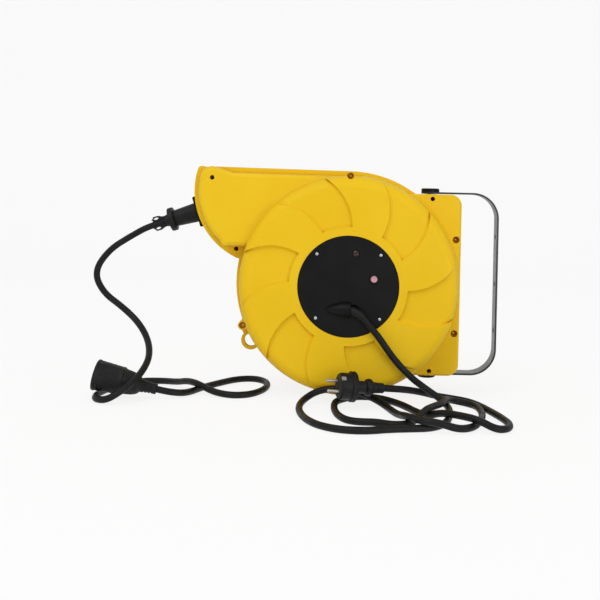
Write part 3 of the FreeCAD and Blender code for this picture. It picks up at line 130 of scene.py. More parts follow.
def grain(tree, shader, height, distance, strength, edge=None):
    """Raise the surface by a height pattern, over edges softened by a radius if given."""
    bump = add(tree, "Bump", {"Height": height}, {"Distance": distance, "Strength": strength})
    if edge is not None:
        soft = add(tree, "Bevel", values={"Radius": edge}, samples=4)
        tree.links.new(soft.outputs["Normal"], bump.inputs["Normal"])
    tree.links.new(bump.outputs["Normal"], shader.inputs["Normal"])


def sum_of(tree, *values):
    """Values added up, one after another."""
    total = values[0]
    for value in values[1:]:
        total = add(tree, "Math", {0: total, 1: value}).outputs["Value"]
    return total


# Materials

def seam_line(tree, where):
    """Depth of the parting line: 0 at the casing's split plane and 1 from 0.6 mm beside it."""
    height = add(tree, "SeparateXYZ", {"Vector": where}).outputs["Y"]
    beside = add(tree, "Math", {0: height}, {1: float(HUB[1])}, operation="SUBTRACT")
    distance = add(tree, "Math", {0: beside.outputs["Value"]}, operation="ABSOLUTE")
    return add(tree, "MapRange", {"Value": distance.outputs["Value"]},
               {"From Min": 0.0002, "From Max": 0.0006}).outputs["Result"]


def moulded_yellow_abs():
    """Satin ABS from a spark-eroded mould: a faint orange-peel, soft edges, painted shade that
    darkens creases and corners by ambient occlusion, and the parting line of the two halves."""
    material, tree, shader, where = surface("moulded_yellow_abs", "ECC626", 0.42, sheen=0.12)
    cloud = mottle(tree, where, 9.0, 0.0, 1.0)
    paint = tint(tree, shader, cloud, "E6BB16", "EAC11E")
    # Painted shade: the base colour turns a deeper orange, D9A010, where ambient occlusion finds
    # creases and corners
    corner = add(tree, "AmbientOcclusion", values={"Distance": 0.006}, samples=12)
    open_side = add(tree, "MapRange", {"Value": corner.outputs["AO"]},
                    {"From Min": 0.3, "From Max": 0.9})
    painted_crease_shade = add(tree, "Mix", {"Factor": open_side.outputs["Result"]}, data_type="RGBA")
    painted_crease_shade.inputs["A"].default_value = srgb("D9A010")
    tree.links.new(paint.outputs["Result"], painted_crease_shade.inputs["B"])
    seam = seam_line(tree, where)
    parted = add(tree, "Mix", {"Factor": seam}, data_type="RGBA")
    parted.inputs["A"].default_value = srgb("8A6210")
    tree.links.new(painted_crease_shade.outputs["Result"], parted.inputs["B"])
    tree.links.new(parted.outputs["Result"], shader.inputs["Base Color"])
    peel = add(tree, "TexNoise", {"Vector": where}, {"Scale": 700.0, "Detail": 2.0})
    fine = add(tree, "Math", {0: peel.outputs["Fac"]}, {1: 0.06}, operation="MULTIPLY")
    height = sum_of(tree, fine.outputs["Value"], seam)
    grain(tree, shader, height, 0.0005, 0.5, edge=0.0005)
    rough = mottle(tree, where, 40.0, 0.4, 0.5)
    tree.links.new(rough, shader.inputs["Roughness"])
    return material


def moulded_black_abs():
    """Black ABS with a fine leather-like mould grain that breaks up its highlights."""
    material, tree, shader, where = surface("moulded_black_abs", "0E0E0F", 0.42, sheen=0.14)
    cloud = mottle(tree, where, 30.0, 0.0, 1.0)
    tint(tree, shader, cloud, "0A0A0B", "121213")
    cells = add(tree, "TexVoronoi", {"Vector": where}, {"Scale": 900.0})
    grain(tree, shader, cells.outputs["Distance"], 0.0001, 0.35, edge=0.0006)
    return material


def moulded_rubber():
    """Black PVC rubber of plug and coupling: dull, with the bloom that handling leaves."""
    material, tree, shader, where = surface("moulded_rubber", "121213", 0.5, sheen=0.25)
    cloud = mottle(tree, where, 60.0, 0.0, 1.0)
    tint(tree, shader, cloud, "0D0D0E", "18181A")
    peel = add(tree, "TexNoise", {"Vector": where}, {"Scale": 1200.0, "Detail": 2.0})
    grain(tree, shader, peel.outputs["Fac"], 0.0001, 0.3, edge=0.0006)
    rough = mottle(tree, where, 50.0, 0.42, 0.58)
    tree.links.new(rough, shader.inputs["Roughness"])
    return material


def extruded_sheath():
    """Extruded rubber sheath: matt, with drawn lines along its length and dusty patches."""
    material, tree, shader, where = surface("extruded_sheath", "131314", 0.48, sheen=0.2)
    along = add(tree, "UVMap").outputs["UV"]
    stretch = add(tree, "Mapping", {"Vector": along}, {"Scale": (6.0, 60.0, 1.0)})
    lines = add(tree, "TexNoise", {"Vector": stretch.outputs["Vector"]},
                {"Scale": 1.0, "Detail": 2.0})
    dust = mottle(tree, where, 25.0, 0.0, 1.0)
    tint(tree, shader, dust, "0E0E0F", "1A1A1C")
    grain(tree, shader, lines.outputs["Fac"], 0.00012, 0.3)
    rough = mottle(tree, where, 90.0, 0.38, 0.56)
    tree.links.new(rough, shader.inputs["Roughness"])
    return material


def powder_coated_steel():
    """Black powder coat on steel strip: semi-gloss with a light orange-peel."""
    material, tree, shader, where = surface("powder_coated_steel", "121213", 0.3, sheen=0.45)
    peel = add(tree, "TexNoise", {"Vector": where}, {"Scale": 500.0, "Detail": 2.0})
    cloud = mottle(tree, where, 30.0, 0.0, 1.0)
    tint(tree, shader, cloud, "0F0F10", "19191B")
    grain(tree, shader, peel.outputs["Fac"], 0.0001, 0.25, edge=0.0005)
    rough = mottle(tree, where, 60.0, 0.26, 0.36)
    tree.links.new(rough, shader.inputs["Roughness"])
    return material


def metal(name, dark, light, roughness):
    """Plated or plain metal with small stains and a fine, uneven polish."""
    material, tree, shader, where = surface(name, light, roughness, metallic=1.0)
    cloud = mottle(tree, where, 120.0, 0.0, 1.0)
    tint(tree, shader, cloud, dark, light)
    rough = mottle(tree, where, 360.0, roughness - 0.06, roughness + 0.08)
    tree.links.new(rough, shader.inputs["Roughness"])
    fine = add(tree, "TexNoise", {"Vector": where}, {"Scale": 2500.0})
    grain(tree, shader, fine.outputs["Fac"], 0.00004, 0.3, edge=0.0003)
    return material


def moulded_plastic(name, dark, light, roughness):
    """Plain moulded plastic of an inner or small piece, slightly mottled."""
    material, tree, shader, where = surface(name, light, roughness)
    cloud = mottle(tree, where, 80.0, 0.0, 1.0)
    tint(tree, shader, cloud, dark, light)
    peel = add(tree, "TexNoise", {"Vector": where}, {"Scale": 900.0})
    grain(tree, shader, peel.outputs["Fac"], 0.00006, 0.25, edge=0.0005)
    return material


yellow = moulded_yellow_abs()
black = moulded_black_abs()
rubber = moulded_rubber()
sheath = extruded_sheath()
powder = powder_coated_steel()
zinc = metal("zinc_plated_steel", "B9BCBF", "D6D8DA", 0.3)
nickel = metal("nickel_plated_brass", "A8A29A", "C4BEB6", 0.42)
dark_screws = metal("bronzed_steel", "8E4420", "A8562C", 0.5)
gold_screws = metal("yellow_passivated_steel", "B98B3A", "DDB864", 0.35)
spring_steel = metal("blued_spring_steel", "3E4148", "5A5E66", 0.35)
brass = metal("plain_brass", "B08A42", "CFA858", 0.3)
lens_red = moulded_plastic("dark_red_acrylic", "25090B", "36090C", 0.15)
button_pink = moulded_plastic("pink_acetal", "C38A97", "CF9CA7", 0.35)
nylon = moulded_plastic("natural_nylon", "D5D0C2", "E2DECF", 0.45)
grey = moulded_plastic("grey_polypropylene", "55585B", "666A6D", 0.5)

FINISHES = {
    "yellow_shell": yellow, "black_plastic": black, "black_rubber": rubber,
    "cord_sheath": sheath, "bracket_steel": powder, "zinc_steel": zinc,
    "nickel_pins": nickel, "spring_steel": spring_steel, "brass_parts": brass,
    "red_lens": lens_red, "pink_button": button_pink, "white_nylon": nylon,
    "grey_plastic": grey,
}
for part in frame["record"]["subparts"]:
    mesh = nodes[part["node"]].data
    mesh.materials.clear()
    mesh.materials.append(FINISHES[part["material_slot"]])


# Cords: the routes' points are those of the tubes in the source

SUPPLY_ROUTE = [
    (0.0294, -0.104, 0.1357), (0.053, -0.104, 0.109), (0.077, -0.107, 0.0745),
    (0.105, -0.104, 0.045), (0.13, -0.097, 0.0262), (0.151, -0.102, 0.0132),
    (0.162, -0.124, 0.0057), (0.161, -0.157, 0.0053), (0.155, -0.196, 0.0053),
    (0.145, -0.228, 0.0053), (0.124, -0.251, 0.0053), (0.094, -0.256, 0.0053),
    (0.066, -0.261, 0.0053), (0.035, -0.273, 0.0053), (-0.001, -0.271, 0.0053),
    (-0.031, -0.251, 0.0053), (-0.05, -0.22, 0.0053), (-0.061, -0.182, 0.0053),
    (-0.065, -0.144, 0.0053), (-0.06, -0.11, 0.0077), (-0.039, -0.094, 0.0187),
    (-0.008, -0.1, 0.0253), (0.022, -0.104, 0.0217), (0.049, -0.112, 0.0132),
    (0.067, -0.131, 0.0061), (0.076, -0.162, 0.0055), (0.083, -0.198, 0.0094),
    (0.091, -0.232, 0.0166), (0.108, -0.256, 0.0166), (0.134, -0.262, 0.0155),
    (0.161, -0.26, 0.0066), (0.184, -0.242, 0.0053), (0.197, -0.21, 0.0053),
    (0.206, -0.179, 0.0053), (0.209, -0.15, 0.0053), (0.2075, -0.117, 0.0053),
    (0.194, -0.098, 0.0055), (0.175, -0.095, 0.0083), (0.161, -0.108, 0.0132),
    (0.156, -0.13, 0.0168), (0.149, -0.151, 0.0163), (0.135, -0.17, 0.0163),
    (0.121, -0.191, 0.016), (0.107, -0.213, 0.0077), (0.093, -0.233, 0.0053),
    (0.071, -0.238, 0.0053), (0.049, -0.225, 0.0053), (0.026, -0.226, 0.0053),
    (0.007, -0.218, 0.0053), (-0.005, -0.193, 0.0053), (-0.011, -0.16, 0.0053),
    (-0.012, -0.129, 0.0053), (-0.009, -0.105, 0.0057), (0.007, -0.094, 0.0088),
    (0.03, -0.093, 0.0116), (0.058, -0.09, 0.0088), (0.083, -0.103, 0.0055),
    (0.098, -0.13, 0.0053), (0.11, -0.16, 0.0053), (0.125, -0.182, 0.0053), (0.144, -0.2, 0.0149),
    (0.168, -0.223, 0.0166), (0.19, -0.243, 0.0163), (0.213, -0.256, 0.0066),
    (0.232, -0.246, 0.0053), (0.239, -0.22, 0.0053), (0.233, -0.184, 0.0053),
    (0.223, -0.148, 0.0053), (0.212, -0.112, 0.0053), (0.197, -0.083, 0.0053),
    (0.174, -0.066, 0.0053), (0.147, -0.07, 0.0099), (0.126, -0.086, 0.0182),
    (0.106, -0.097, 0.0235), (0.0847, -0.11133, 0.02822), (0.06279, -0.11803, 0.03022),
]
OUTPUT_ROUTE = [
    (-0.29513, 0.008, 0.27546), (-0.32665, 0.008, 0.2657), (-0.358, 0.008, 0.2475),
    (-0.394, 0.008, 0.224), (-0.418, 0.007, 0.187), (-0.402, 0.005, 0.153), (-0.366, 0, 0.129),
    (-0.336, -0.014, 0.106), (-0.315, -0.038, 0.082), (-0.306, -0.068, 0.062),
    (-0.309, -0.095, 0.046), (-0.32, -0.117, 0.031), (-0.336, -0.131, 0.0187),
    (-0.355, -0.139, 0.0073), (-0.376, -0.125, 0.0053), (-0.3825, -0.094, 0.0053),
    (-0.376, -0.058, 0.0053), (-0.364, -0.016, 0.0053), (-0.337, 0.013, 0.0053),
    (-0.301, 0.017, 0.0053), (-0.272, -0.006, 0.0088), (-0.251, -0.03, 0.0163),
    (-0.23, -0.052, 0.0163), (-0.205, -0.068, 0.0077), (-0.175, -0.08, 0.0053),
    (-0.147, -0.072, 0.0053), (-0.13, -0.044, 0.0053), (-0.1225, -0.006, 0.0053),
    (-0.129, 0.031, 0.0053), (-0.151, 0.052, 0.0053), (-0.18, 0.044, 0.0053),
    (-0.205, 0.01, 0.0053), (-0.229, -0.029, 0.0053), (-0.2405, -0.062, 0.0057),
    (-0.2525, -0.0835, 0.0079), (-0.27334, -0.09112, 0.0116), (-0.28894, -0.09166, 0.01511),
]
CORD_DIAMETER = 0.0106


def lay_cord(name, route):
    """A round cord whose centreline is one smooth NURBS spline with the route as its points."""
    curve = bpy.data.curves.new(name, "CURVE")
    curve.dimensions = "3D"
    curve.resolution_u = 10
    curve.bevel_depth = CORD_DIAMETER / 2
    curve.bevel_resolution = 5
    curve.use_fill_caps = True
    spline = curve.splines.new("NURBS")
    spline.points.add(len(route) - 1)
    points = np.ones((len(route), 4))
    points[:, :3] = route
    spline.points.foreach_set("co", points.ravel())
    spline.order_u = 3
    spline.use_endpoint_u = True
    cord = bpy.data.objects.new(name, curve)
    bpy.context.scene.collection.objects.link(cord)
    curve.materials.append(sheath)
    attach(cord, "casing")
    return cord


supply = lay_cord("supply_lead", SUPPLY_ROUTE)
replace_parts(supply, "supply_cord")
output = lay_cord("output_lead", OUTPUT_ROUTE)
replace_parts(output, "output_cord")


# Closed surfaces of rings: turned pieces, fillets, a sleeve along a path and screws

def closed_rings(name, shells, finish):
    """One piece of closed shells; each is rings of points (ring, place round it, xyz) between
    two end points. Neighbouring rings are joined by quads, and the end rings by fans. The
    sign of the volume within tells whether the faces look outward or have to be turned."""
    points, faces, count = [], [], 0
    for rings, start, end in shells:
        number, round_it = rings.shape[:2]
        j = np.arange(round_it)
        after = (j + 1) % round_it
        low = count + 1 + round_it * np.arange(number - 1)[:, None]
        quads = np.stack([low + j, low + after, low + round_it + after, low + round_it + j], -1)
        quads = quads.reshape(-1, 4)
        last = count + 1 + round_it * (number - 1)
        top = count + 1 + round_it * number
        first_fan = np.stack([np.full(round_it, count), count + 1 + after, count + 1 + j], -1)
        last_fan = np.stack([np.full(round_it, top), last + j, last + after], -1)
        shell = np.concatenate([[start], rings.reshape(-1, 3), [end]])
        local = np.concatenate([quads[:, [0, 1, 2]], quads[:, [0, 2, 3]],
                                first_fan, last_fan]) - count
        corners = shell[local] - shell.mean(0)
        volume = np.einsum("ij,ij->i", corners[:, 0], np.cross(corners[:, 1], corners[:, 2])).sum()
        for group in (quads, first_fan, last_fan):
            faces += (group if volume > 0 else group[:, ::-1]).tolist()
        points.append(shell)
        count += len(shell)
    mesh = bpy.data.meshes.new(name)
    mesh.from_pydata(np.concatenate(points).tolist(), [], faces)
    mesh.shade_smooth()
    mesh.materials.append(finish)
    piece = bpy.data.objects.new(name, mesh)
    bpy.context.scene.collection.objects.link(piece)
    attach(piece, "casing")
    return piece


def turn(yaw, pitch, roll):
    """Rotation matrix of a roll about X, then a pitch about Y, then a yaw about Z."""
    a, b, c = np.radians([yaw, pitch, roll])
    about_z = np.array([[np.cos(a), -np.sin(a), 0], [np.sin(a), np.cos(a), 0], [0, 0, 1]])
    about_y = np.array([[np.cos(b), 0, np.sin(b)], [0, 1, 0], [-np.sin(b), 0, np.cos(b)]])
    about_x = np.array([[1, 0, 0], [0, np.cos(c), -np.sin(c)], [0, np.sin(c), np.cos(c)]])
    return about_z @ about_y @ about_x


def soften(profile, cut):
    """A profile in millimetres with each corner a quadratic curve between the points a cut
    before and after it, and then points at most 0.7 mm apart along it."""
    p = np.asarray(profile, float)
    before, after = p[:-2] - p[1:-1], p[2:] - p[1:-1]
    reach = np.linalg.norm(before, axis=1), np.linalg.norm(after, axis=1)
    cuts = np.minimum(cut, 0.45 * np.minimum(*reach))
    start = p[1:-1] + before * (cuts / reach[0])[:, None]
    end = p[1:-1] + after * (cuts / reach[1])[:, None]
    t = np.linspace(0, 1, 5)[None, :, None]
    arcs = (1 - t) ** 2 * start[:, None] + 2 * t * (1 - t) * p[1:-1, None] + t ** 2 * end[:, None]
    line = np.concatenate([p[:1], arcs.reshape(-1, 2), p[-1:]])
    way = np.concatenate([[0], np.cumsum(np.linalg.norm(np.diff(line, axis=0), axis=1))])
    stops = np.unique(np.concatenate([way, np.arange(0, way[-1], 0.7)]))
    return np.stack([np.interp(stops, way, line[:, 0]), np.interp(stops, way, line[:, 1])], -1)


def turned_shell(profile, place, rotation, ripple, round_it):
    """Rings of a surface of revolution about X: the profile's radius, changed by
    ripple(distance, radius, angle), turned and set in its place; millimetres to metres."""
    x, radius = np.asarray(profile).T[:, :, None]
    angle = np.linspace(0, 2 * np.pi, round_it, endpoint=False)[None]
    radius = ripple(x + 0 * angle, radius + 0 * angle, angle + 0 * x)
    grid = np.stack([x + 0 * angle, radius * np.cos(angle), radius * np.sin(angle)], -1)
    grid = grid @ rotation.T / 1000 + place
    return grid[1:-1], grid[0].mean(0), grid[-1].mean(0)


def ramp(value, low, high):
    """0 below low, 1 above high and a smooth step between."""
    t = np.clip((value - low) / (high - low), 0, 1)
    return t * t * (3 - 2 * t)


# Moulded fillets where the casing's raised forms meet what lies under them. Lengths here are
# in millimetres from the hub, with depth towards the viewer as the second value of a point.
# A blade's edge starts and ends at a distance and an angle in degrees.

UP = np.array([0.0, 1.0, 0.0])
DOME_RADIUS, DOME_ROUND, DOME_DEPTH = 173.0, 18.0, 94.5
BLADE_PAIRS, BLADE_STEP = 6, 30.0
BLADE_START, BLADE_END = (91.0, 57.0), (186.0, 78.5)
BLADE_CURVE = 88.0
BLADE_FILLET, BLADE_RISE = 4.6, 5.2
FLANGE_DEPTH, BLOCK_DEPTH, SNOUT_DEPTH = 40.0, 46.0, 74.0
LIP_CENTRE, LIP_RADIUS, LIP_FLANGE = (-133.0, FLANGE_DEPTH, 146.0), 120.0, 11.5
SINK = 0.4


def fillet_shell(foot, out, width, height):
    """A closed strip along the points of a foot, against a wall: each section is filled below
    the parabola that stands width * (1 - t) out from the wall at height * t^2, and sinks a
    little into the wall and into the floor."""
    t = np.linspace(0, 1, 10)[None]
    width, height = width[:, None], height + 0 * width[:, None]
    sunk = -SINK + 0 * width
    across = np.concatenate([sunk, width, width * (1 - t), sunk], axis=1)
    along = np.concatenate([sunk, sunk, height * t ** 2, height], axis=1)
    rings = foot[:, None] + across[..., None] * out[:, None] + along[..., None] * UP
    rings = rings * [1, -1, 1] / 1000 + HUB
    return rings, rings[0].mean(0), rings[-1].mean(0)


def polar_points(distance, degrees, depth):
    """Points at a distance and an angle from the hub and a depth towards the viewer."""
    angle = np.radians(degrees)
    return np.stack([distance * np.cos(angle), depth + 0 * angle, distance * np.sin(angle)], -1)


def swirl(distance):
    """Angle in degrees of a blade's edge at a distance from the hub: where the circle of
    the blade's curve through the edge's two ends has that distance."""
    first = polar_points(*BLADE_START, 0)[[0, 2]]
    last = polar_points(*BLADE_END, 0)[[0, 2]]
    half = (last - first) / 2
    normal = np.array([half[1], -half[0]]) / np.linalg.norm(half)
    centre = (first + last) / 2 - normal * np.sqrt(BLADE_CURVE ** 2 - half @ half)
    gap = np.linalg.norm(centre)
    opening = np.arccos((distance ** 2 + gap ** 2 - BLADE_CURVE ** 2) / (2 * distance * gap))
    return np.degrees(np.arctan2(centre[1], centre[0]) - opening)


def left_of(path):
    """Unit direction to the left of a path, in the plane of the face."""
    ahead = np.gradient(path, axis=0) * [1, 0, 1]
    ahead = ahead / np.linalg.norm(ahead, axis=1)[:, None]
    return np.stack([-ahead[:, 2], 0 * ahead[:, 0], ahead[:, 0]], -1)


def swell(value, low, high, grow):
    """Share of a strip's full width: next to nothing at both ends of a range, and 1 from
    a growing length inside them."""
    rise = ramp(value, low - grow / 9, low + grow)
    fall = 1 - ramp(value, high - grow, high + grow / 9)
    return np.maximum(rise * fall, 0.06)


def blade_fillets():
    """Two edges of each of the six raised blades, and the arc of the hub ring between them."""
    flat_radius, flat_depth = DOME_RADIUS - DOME_ROUND, DOME_DEPTH - DOME_ROUND
    distance = np.linspace(BLADE_START[0] + 0.5, flat_radius + 11.0, 60)
    fall = np.sqrt(DOME_ROUND ** 2 - np.clip(distance - flat_radius, 0, None) ** 2)
    starts = ramp(distance, 89.0, 95.0)
    ends = 1 - 0.7 * ramp(distance, 150.0, 166.0)
    width = BLADE_FILLET * starts * ends
    shells = []
    for k in range(2 * BLADE_PAIRS):
        edge = polar_points(distance, swirl(distance) + BLADE_STEP * k, flat_depth + fall)
        side = left_of(edge) * (1 if k % 2 else -1)
        shells.append(fillet_shell(edge, side, width, BLADE_RISE))
    for k in range(BLADE_PAIRS):
        low = swirl(np.array([BLADE_START[0] + 2.0]))[0] + BLADE_STEP * (1 + 2 * k)
        degrees = np.linspace(low, low + BLADE_STEP, 50)
        width = BLADE_FILLET * swell(degrees, low, low + BLADE_STEP, 2.0)
        shells.append(fillet_shell(polar_points(BLADE_START[0] + 0.2, degrees, DOME_DEPTH),
                                   polar_points(1.0, degrees, 0.0), width, BLADE_RISE))
    return shells


# Each skirt's first and last angle, the depth that it stands on, its width and its height

SKIRTS = [
    (168.0, 306.5, FLANGE_DEPTH, 5.5, 34.0),
    (-56.5, 56.5, BLOCK_DEPTH, 7.0, 28.0),
    (55.5, 86.5, FLANGE_DEPTH, 5.5, 34.0),
    (101.0, 160.5, SNOUT_DEPTH, 5.0, 2.3),
]


def dome_skirts():
    """Drafted foot of the dome: on the flange, on the mount block and on the snout's face."""
    shells = []
    for low, high, depth, width, height in SKIRTS:
        degrees = np.linspace(low, high, int((high - low) * 1.5))
        widths = width * swell(degrees, low, high, 5.0)
        shells.append(fillet_shell(polar_points(DOME_RADIUS - 0.1, degrees, depth),
                                   polar_points(1.0, degrees, 0.0), widths, height))
    return shells


def snout_skirt():
    """Drafted foot of the snout's face along the lip, about the centre of the lip's arc."""
    first, last = 169.0, 228.0
    reach = LIP_RADIUS - LIP_FLANGE - 0.1
    degrees = np.linspace(first, last, 90)
    out = polar_points(1.0, degrees, 0.0)
    widths = 7.0 * swell(degrees, first, last, 8.0)
    return [fillet_shell(np.array(LIP_CENTRE) + reach * out, out, widths, 26.0)]


closed_rings("casing_fillets", blade_fillets() + dome_skirts() + snout_skirt(), yellow)


# Plug: fluted collar, slots over the earth clips, and a ringed tail. Each point of a profile
# is a distance along the axis and a radius, in millimetres.

PLUG_PLACE = np.array([-0.0058, -0.139, 0.0365])
PLUG_TURN = turn(17, 5, 41)
CORNER_CUT = 0.8


def plug_ripple(x, radius, angle):
    """Shallow flutes round the collar, and two slots in the front barrel."""
    flute_count, flute_depth, slot_floor = 36, 0.35, 17.5
    flutes = flute_depth * ramp(radius, 21.5, 22.5) * (0.5 + 0.5 * np.cos(flute_count * angle))
    off_slot = np.minimum(np.abs(angle - np.pi / 2), np.abs(angle - 3 * np.pi / 2)) * radius
    slot = (1 - ramp(off_slot, 3.3, 3.7)) * (1 - ramp(x, 7.0, 7.6))
    return np.minimum(radius - flutes, radius + slot * (slot_floor - radius))


plug_profile = soften([
    (0, 0), (0, 18), (3, 20.3), (17, 20.3), (17.5, 22.3), (18.6, 23), (25.2, 23), (26.3, 21.5),
    (28, 9.8), (42, 9.4), (43.6, 12), (46, 13.1), (50, 13.1), (52.6, 12), (55, 8.7), (59.4, 8.4),
    (59.8, 7.3), (61, 7.3), (61.4, 8.3), (62.8, 8.2), (63.2, 7.2), (64.4, 7.2), (64.8, 8.1),
    (66.2, 8.0), (66.6, 7.1), (67.8, 7.1), (68.2, 7.9), (71.4, 7.6), (72, 7.0), (72, 0)], CORNER_CUT)
plug_shell = turned_shell(plug_profile, PLUG_PLACE, PLUG_TURN, plug_ripple, 216)
plug = closed_rings("plug_cover", [plug_shell], rubber)
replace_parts(plug, "plug_body")


# Coupling: lip, grip ribs in two sunk panels, a band, and a ringed tail

COUPLING_PLACE = np.array([-0.3845, -0.095, 0.0366])
COUPLING_TURN = turn(2, 12.67, 0)


def coupling_ripple(x, radius, angle):
    """Two sunk grip panels with lengthwise ribs on the sides, and flats on the shoulder."""
    rib_count, panel_depth, rib_height, flat_depth = 40, 0.7, 0.6, 0.9
    side = np.abs(np.cos(angle))
    length = ramp(x, 9, 11) * (1 - ramp(x, 38, 40))
    panel = ramp(side, 0.5, 0.62) * length * ramp(radius, 20.5, 21)
    ribs = panel_depth - rib_height * ramp(np.cos(rib_count * angle), -0.2, 0.4)
    flat = flat_depth * ramp(side, 0.55, 0.7) * ramp(x, 48, 52) * (1 - ramp(x, 64, 68))
    return radius - panel * ribs - flat


coupling_profile = soften([
    (27.5, 0), (27.5, 19.8), (1.2, 19.8), (0, 20.6), (0, 23.2), (1.4, 24.2), (4, 24.1), (5.5, 23.4),
    (41, 21.4), (42, 21.6), (44.2, 21.4), (45, 20.2), (47, 19.5), (62, 17.1), (69.5, 14.3),
    (72, 11.6), (74, 10.0), (78.4, 9.8), (78.8, 8.6), (80.6, 8.5), (81, 9.5), (83.4, 9.3),
    (83.8, 8.1), (85.6, 8.0), (86, 9.0), (88.4, 8.8), (88.8, 7.6), (90.6, 7.5), (91, 8.5),
    (97.4, 8.2), (98, 7.6), (98, 0)], CORNER_CUT)
coupling_shell = turned_shell(coupling_profile, COUPLING_PLACE, COUPLING_TURN,
                              coupling_ripple, 240)
coupling = closed_rings("coupling_cover", [coupling_shell], rubber)
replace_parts(coupling, "coupling_body")


# Sleeve that bends the supply lead down out of the hood

def hermite(start, end, leave, arrive, t):
    """Points on the cubic between two points with a tangent at each."""
    t = t[:, None]
    return ((2 * t ** 3 - 3 * t ** 2 + 1) * start + (t ** 3 - 2 * t ** 2 + t) * leave
            + (3 * t ** 2 - 2 * t ** 3) * end + (t ** 3 - t ** 2) * arrive)


def sleeve_shell():
    """Rings along the bend, each square to it: a taper with rounded ribs and a bead."""
    mouth = HUB + np.array([-8, -104, -35.5]) / 1000
    tip = np.array(SUPPLY_ROUTE[0])
    down = np.array(SUPPLY_ROUTE[1]) - tip
    down = down / np.linalg.norm(down)
    t = np.linspace(0, 1, 160)
    path = hermite(mouth, tip, np.array([0.036, -0.002, 0.0]), down * 0.03, t)
    ribbed = ramp(t, 0.28, 0.36) * (1 - ramp(t, 0.9, 0.93))
    rib = ramp(np.cos(2 * np.pi * 7 * t), -0.1, 0.5) * ribbed
    bead = ramp(t, 0.92, 0.95)
    mouth_radius, taper, rib_height, bead_height = 0.0076, 0.0014, 0.00025, 0.0003
    radius = mouth_radius - taper * t + rib_height * rib + bead_height * bead
    ahead = np.gradient(path, axis=0)
    ahead = ahead / np.linalg.norm(ahead, axis=1)[:, None]
    across = np.cross(ahead, [0.0, 1.0, 0.0])
    across = across / np.linalg.norm(across, axis=1)[:, None]
    over = np.cross(ahead, across)
    angle = np.linspace(0, 2 * np.pi, 64, endpoint=False)[None, :, None]
    rings = path[:, None] + radius[:, None, None] * (
        np.cos(angle) * across[:, None] + np.sin(angle) * over[:, None])
    return rings, path[0], path[-1]


sleeve = closed_rings("lead_sleeve", [sleeve_shell()], rubber)
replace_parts(sleeve, "inlet_sleeve")


# Screws with a cross recess; their heads look towards the front

def screw_shell(x, seat, z, head, thick, shank, length):
    """A domed head over radius r, thick * (1 - crown (r / head)^2), less a cross-shaped recess,
    and a plain shank behind it."""
    crown, recess = 0.4, 0.55
    angle = np.linspace(0, 2 * np.pi, 48, endpoint=False)
    radius = np.concatenate([np.linspace(0.05, 1, 16) * head, [head, shank, shank, 0.01]])
    radius = radius[:, None]
    u, v = radius * np.cos(angle), radius * np.sin(angle)
    narrow, wide = np.minimum(np.abs(u), np.abs(v)), np.maximum(np.abs(u), np.abs(v))
    slots = 1 - ramp(narrow, 0.12 * head, 0.2 * head)
    cross = slots * (1 - ramp(wide, 0.5 * head, 0.62 * head))
    rise = thick * (1 - crown * (radius / head) ** 2 - recess * cross)
    rise[-4:] = np.array([0, 0, -length, -length])[:, None]
    grid = np.stack([x + u, seat - rise, z + v], -1) / 1000 + HUB
    return grid, grid[0].mean(0), grid[-1].mean(0)


def screws(name, node, places, finish, seat, head, thick, shank, length):
    """The screws of one size as one piece; millimetres from the hub."""
    shells = [screw_shell(x, seat, z, head, thick, shank, length) for x, z in places]
    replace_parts(closed_rings(name, shells, finish), node)


screws("cover_screws", "hub_cover_screws", [(50, 50), (-50, 50), (-50, -50), (50, -50)],
       zinc, seat=-98.8, head=2.4, thick=2.0, shank=1.9, length=13.0)
screws("well_screws", "shell_screws_deep",
       [(-220, 166), (-183.2, 51.4), (134, 139.5), (134, -139.5)],
       dark_screws, seat=-22, head=3.5, thick=2.6, shank=2.3, length=34.0)
screws("rim_screws", "shell_screws_open",
       [(0, 173.5), (173.2, 74), (173.2, -78), (-170, -73)],
       gold_screws, seat=-34, head=3.5, thick=2.6, shank=2.3, length=46.0)


# Floor, backdrop and light

PAPER_GLOW = 0.84
WORLD_STRENGTH = 0.72
SOFTBOX_SIZE = 1.4


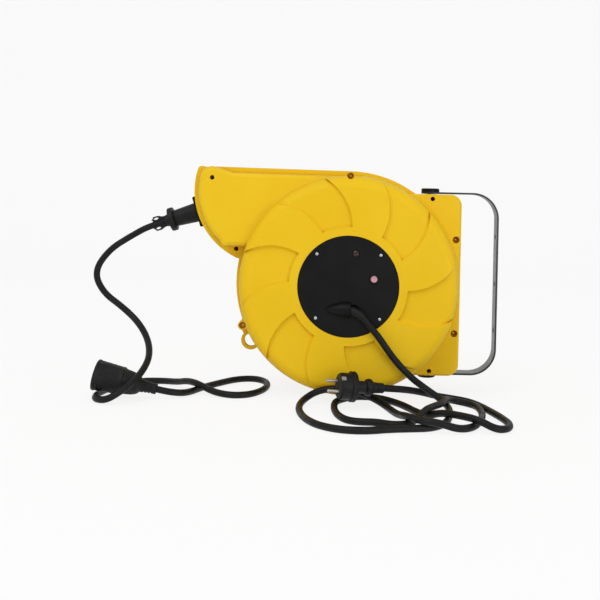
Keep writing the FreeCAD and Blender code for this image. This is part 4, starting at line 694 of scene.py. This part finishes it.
def studio_paper():
    """White seamless paper: matt, and seen near white by a glow that keeps the shadow."""
    material, tree, shader, where = surface("studio_paper", "F2F2F2", 0.9, sheen=0.1)
    fibre = add(tree, "TexNoise", {"Vector": where}, {"Scale": 300.0})
    grain(tree, shader, fibre.outputs["Fac"], 0.0001, 0.1)
    rays = add(tree, "LightPath").outputs
    seen = sum_of(tree, rays["Is Camera Ray"], rays["Is Glossy Ray"], rays["Is Transmission Ray"])
    share = add(tree, "Math", {0: seen}, {1: PAPER_GLOW}, operation="MULTIPLY", use_clamp=True)
    glow = add(tree, "Emission", values={"Color": srgb("FFFFFF"), "Strength": 1.0})
    both = add(tree, "MixShader", {0: share.outputs["Value"], 1: shader.outputs["BSDF"],
                                   2: glow.outputs["Emission"]})
    tree.links.new(both.outputs["Shader"], tree.nodes["Material Output"].inputs["Surface"])
    return material


def make_backdrop():
    """Paper that runs back along the floor and curves up: height is 0 up to the bend, then
    a quarter circle of radius r, then straight up."""
    front, bend, r, reach, width = -3.0, 2.2, 1.2, 3.5, 6.0
    arc = np.linspace(0, math.pi / 2, 24)
    y = np.concatenate([[front], bend + r * np.sin(arc), [bend + r]])
    z = np.concatenate([[0.0], r - r * np.cos(arc), [r + reach]])
    x = np.array([-width, width])
    grid = np.stack([np.repeat(x[:, None], len(y), 1), np.tile(y, (2, 1)), np.tile(z, (2, 1))], -1)
    k = np.arange(len(y) - 1)
    faces = np.stack([k, k + len(y), k + len(y) + 1, k + 1], -1)
    mesh = bpy.data.meshes.new("backdrop")
    mesh.from_pydata(grid.reshape(-1, 3).tolist(), [], faces.tolist())
    mesh.shade_smooth()
    backdrop = bpy.data.objects.new("backdrop", mesh)
    bpy.context.scene.collection.objects.link(backdrop)
    mesh.materials.append(studio_paper())


make_backdrop()


def make_light(name, place, power):
    """A square soft box that looks at the hub."""
    lamp = bpy.data.lights.new(name, "AREA")
    lamp.size = SOFTBOX_SIZE
    lamp.energy = power
    light = bpy.data.objects.new(name, lamp)
    bpy.context.scene.collection.objects.link(light)
    light.location = place
    away = np.array(place) - HUB
    light.rotation_euler = (math.atan2(math.hypot(away[0], away[1]), away[2]), 0,
                            math.atan2(away[0], -away[1]))


make_light("key_softbox", (-0.9, -1.6, 2.2), power=16.0)
make_light("fill_softbox", (1.2, -2.2, 0.2), power=17.0)

world = bpy.data.worlds.new("studio")
world.use_nodes = True
sky = world.node_tree.nodes["Background"].inputs
sky["Color"].default_value = (1.0, 1.0, 1.0, 1.0)
sky["Strength"].default_value = WORLD_STRENGTH
bpy.context.scene.world = world
bpy.context.scene.view_settings.view_transform = "Standard"
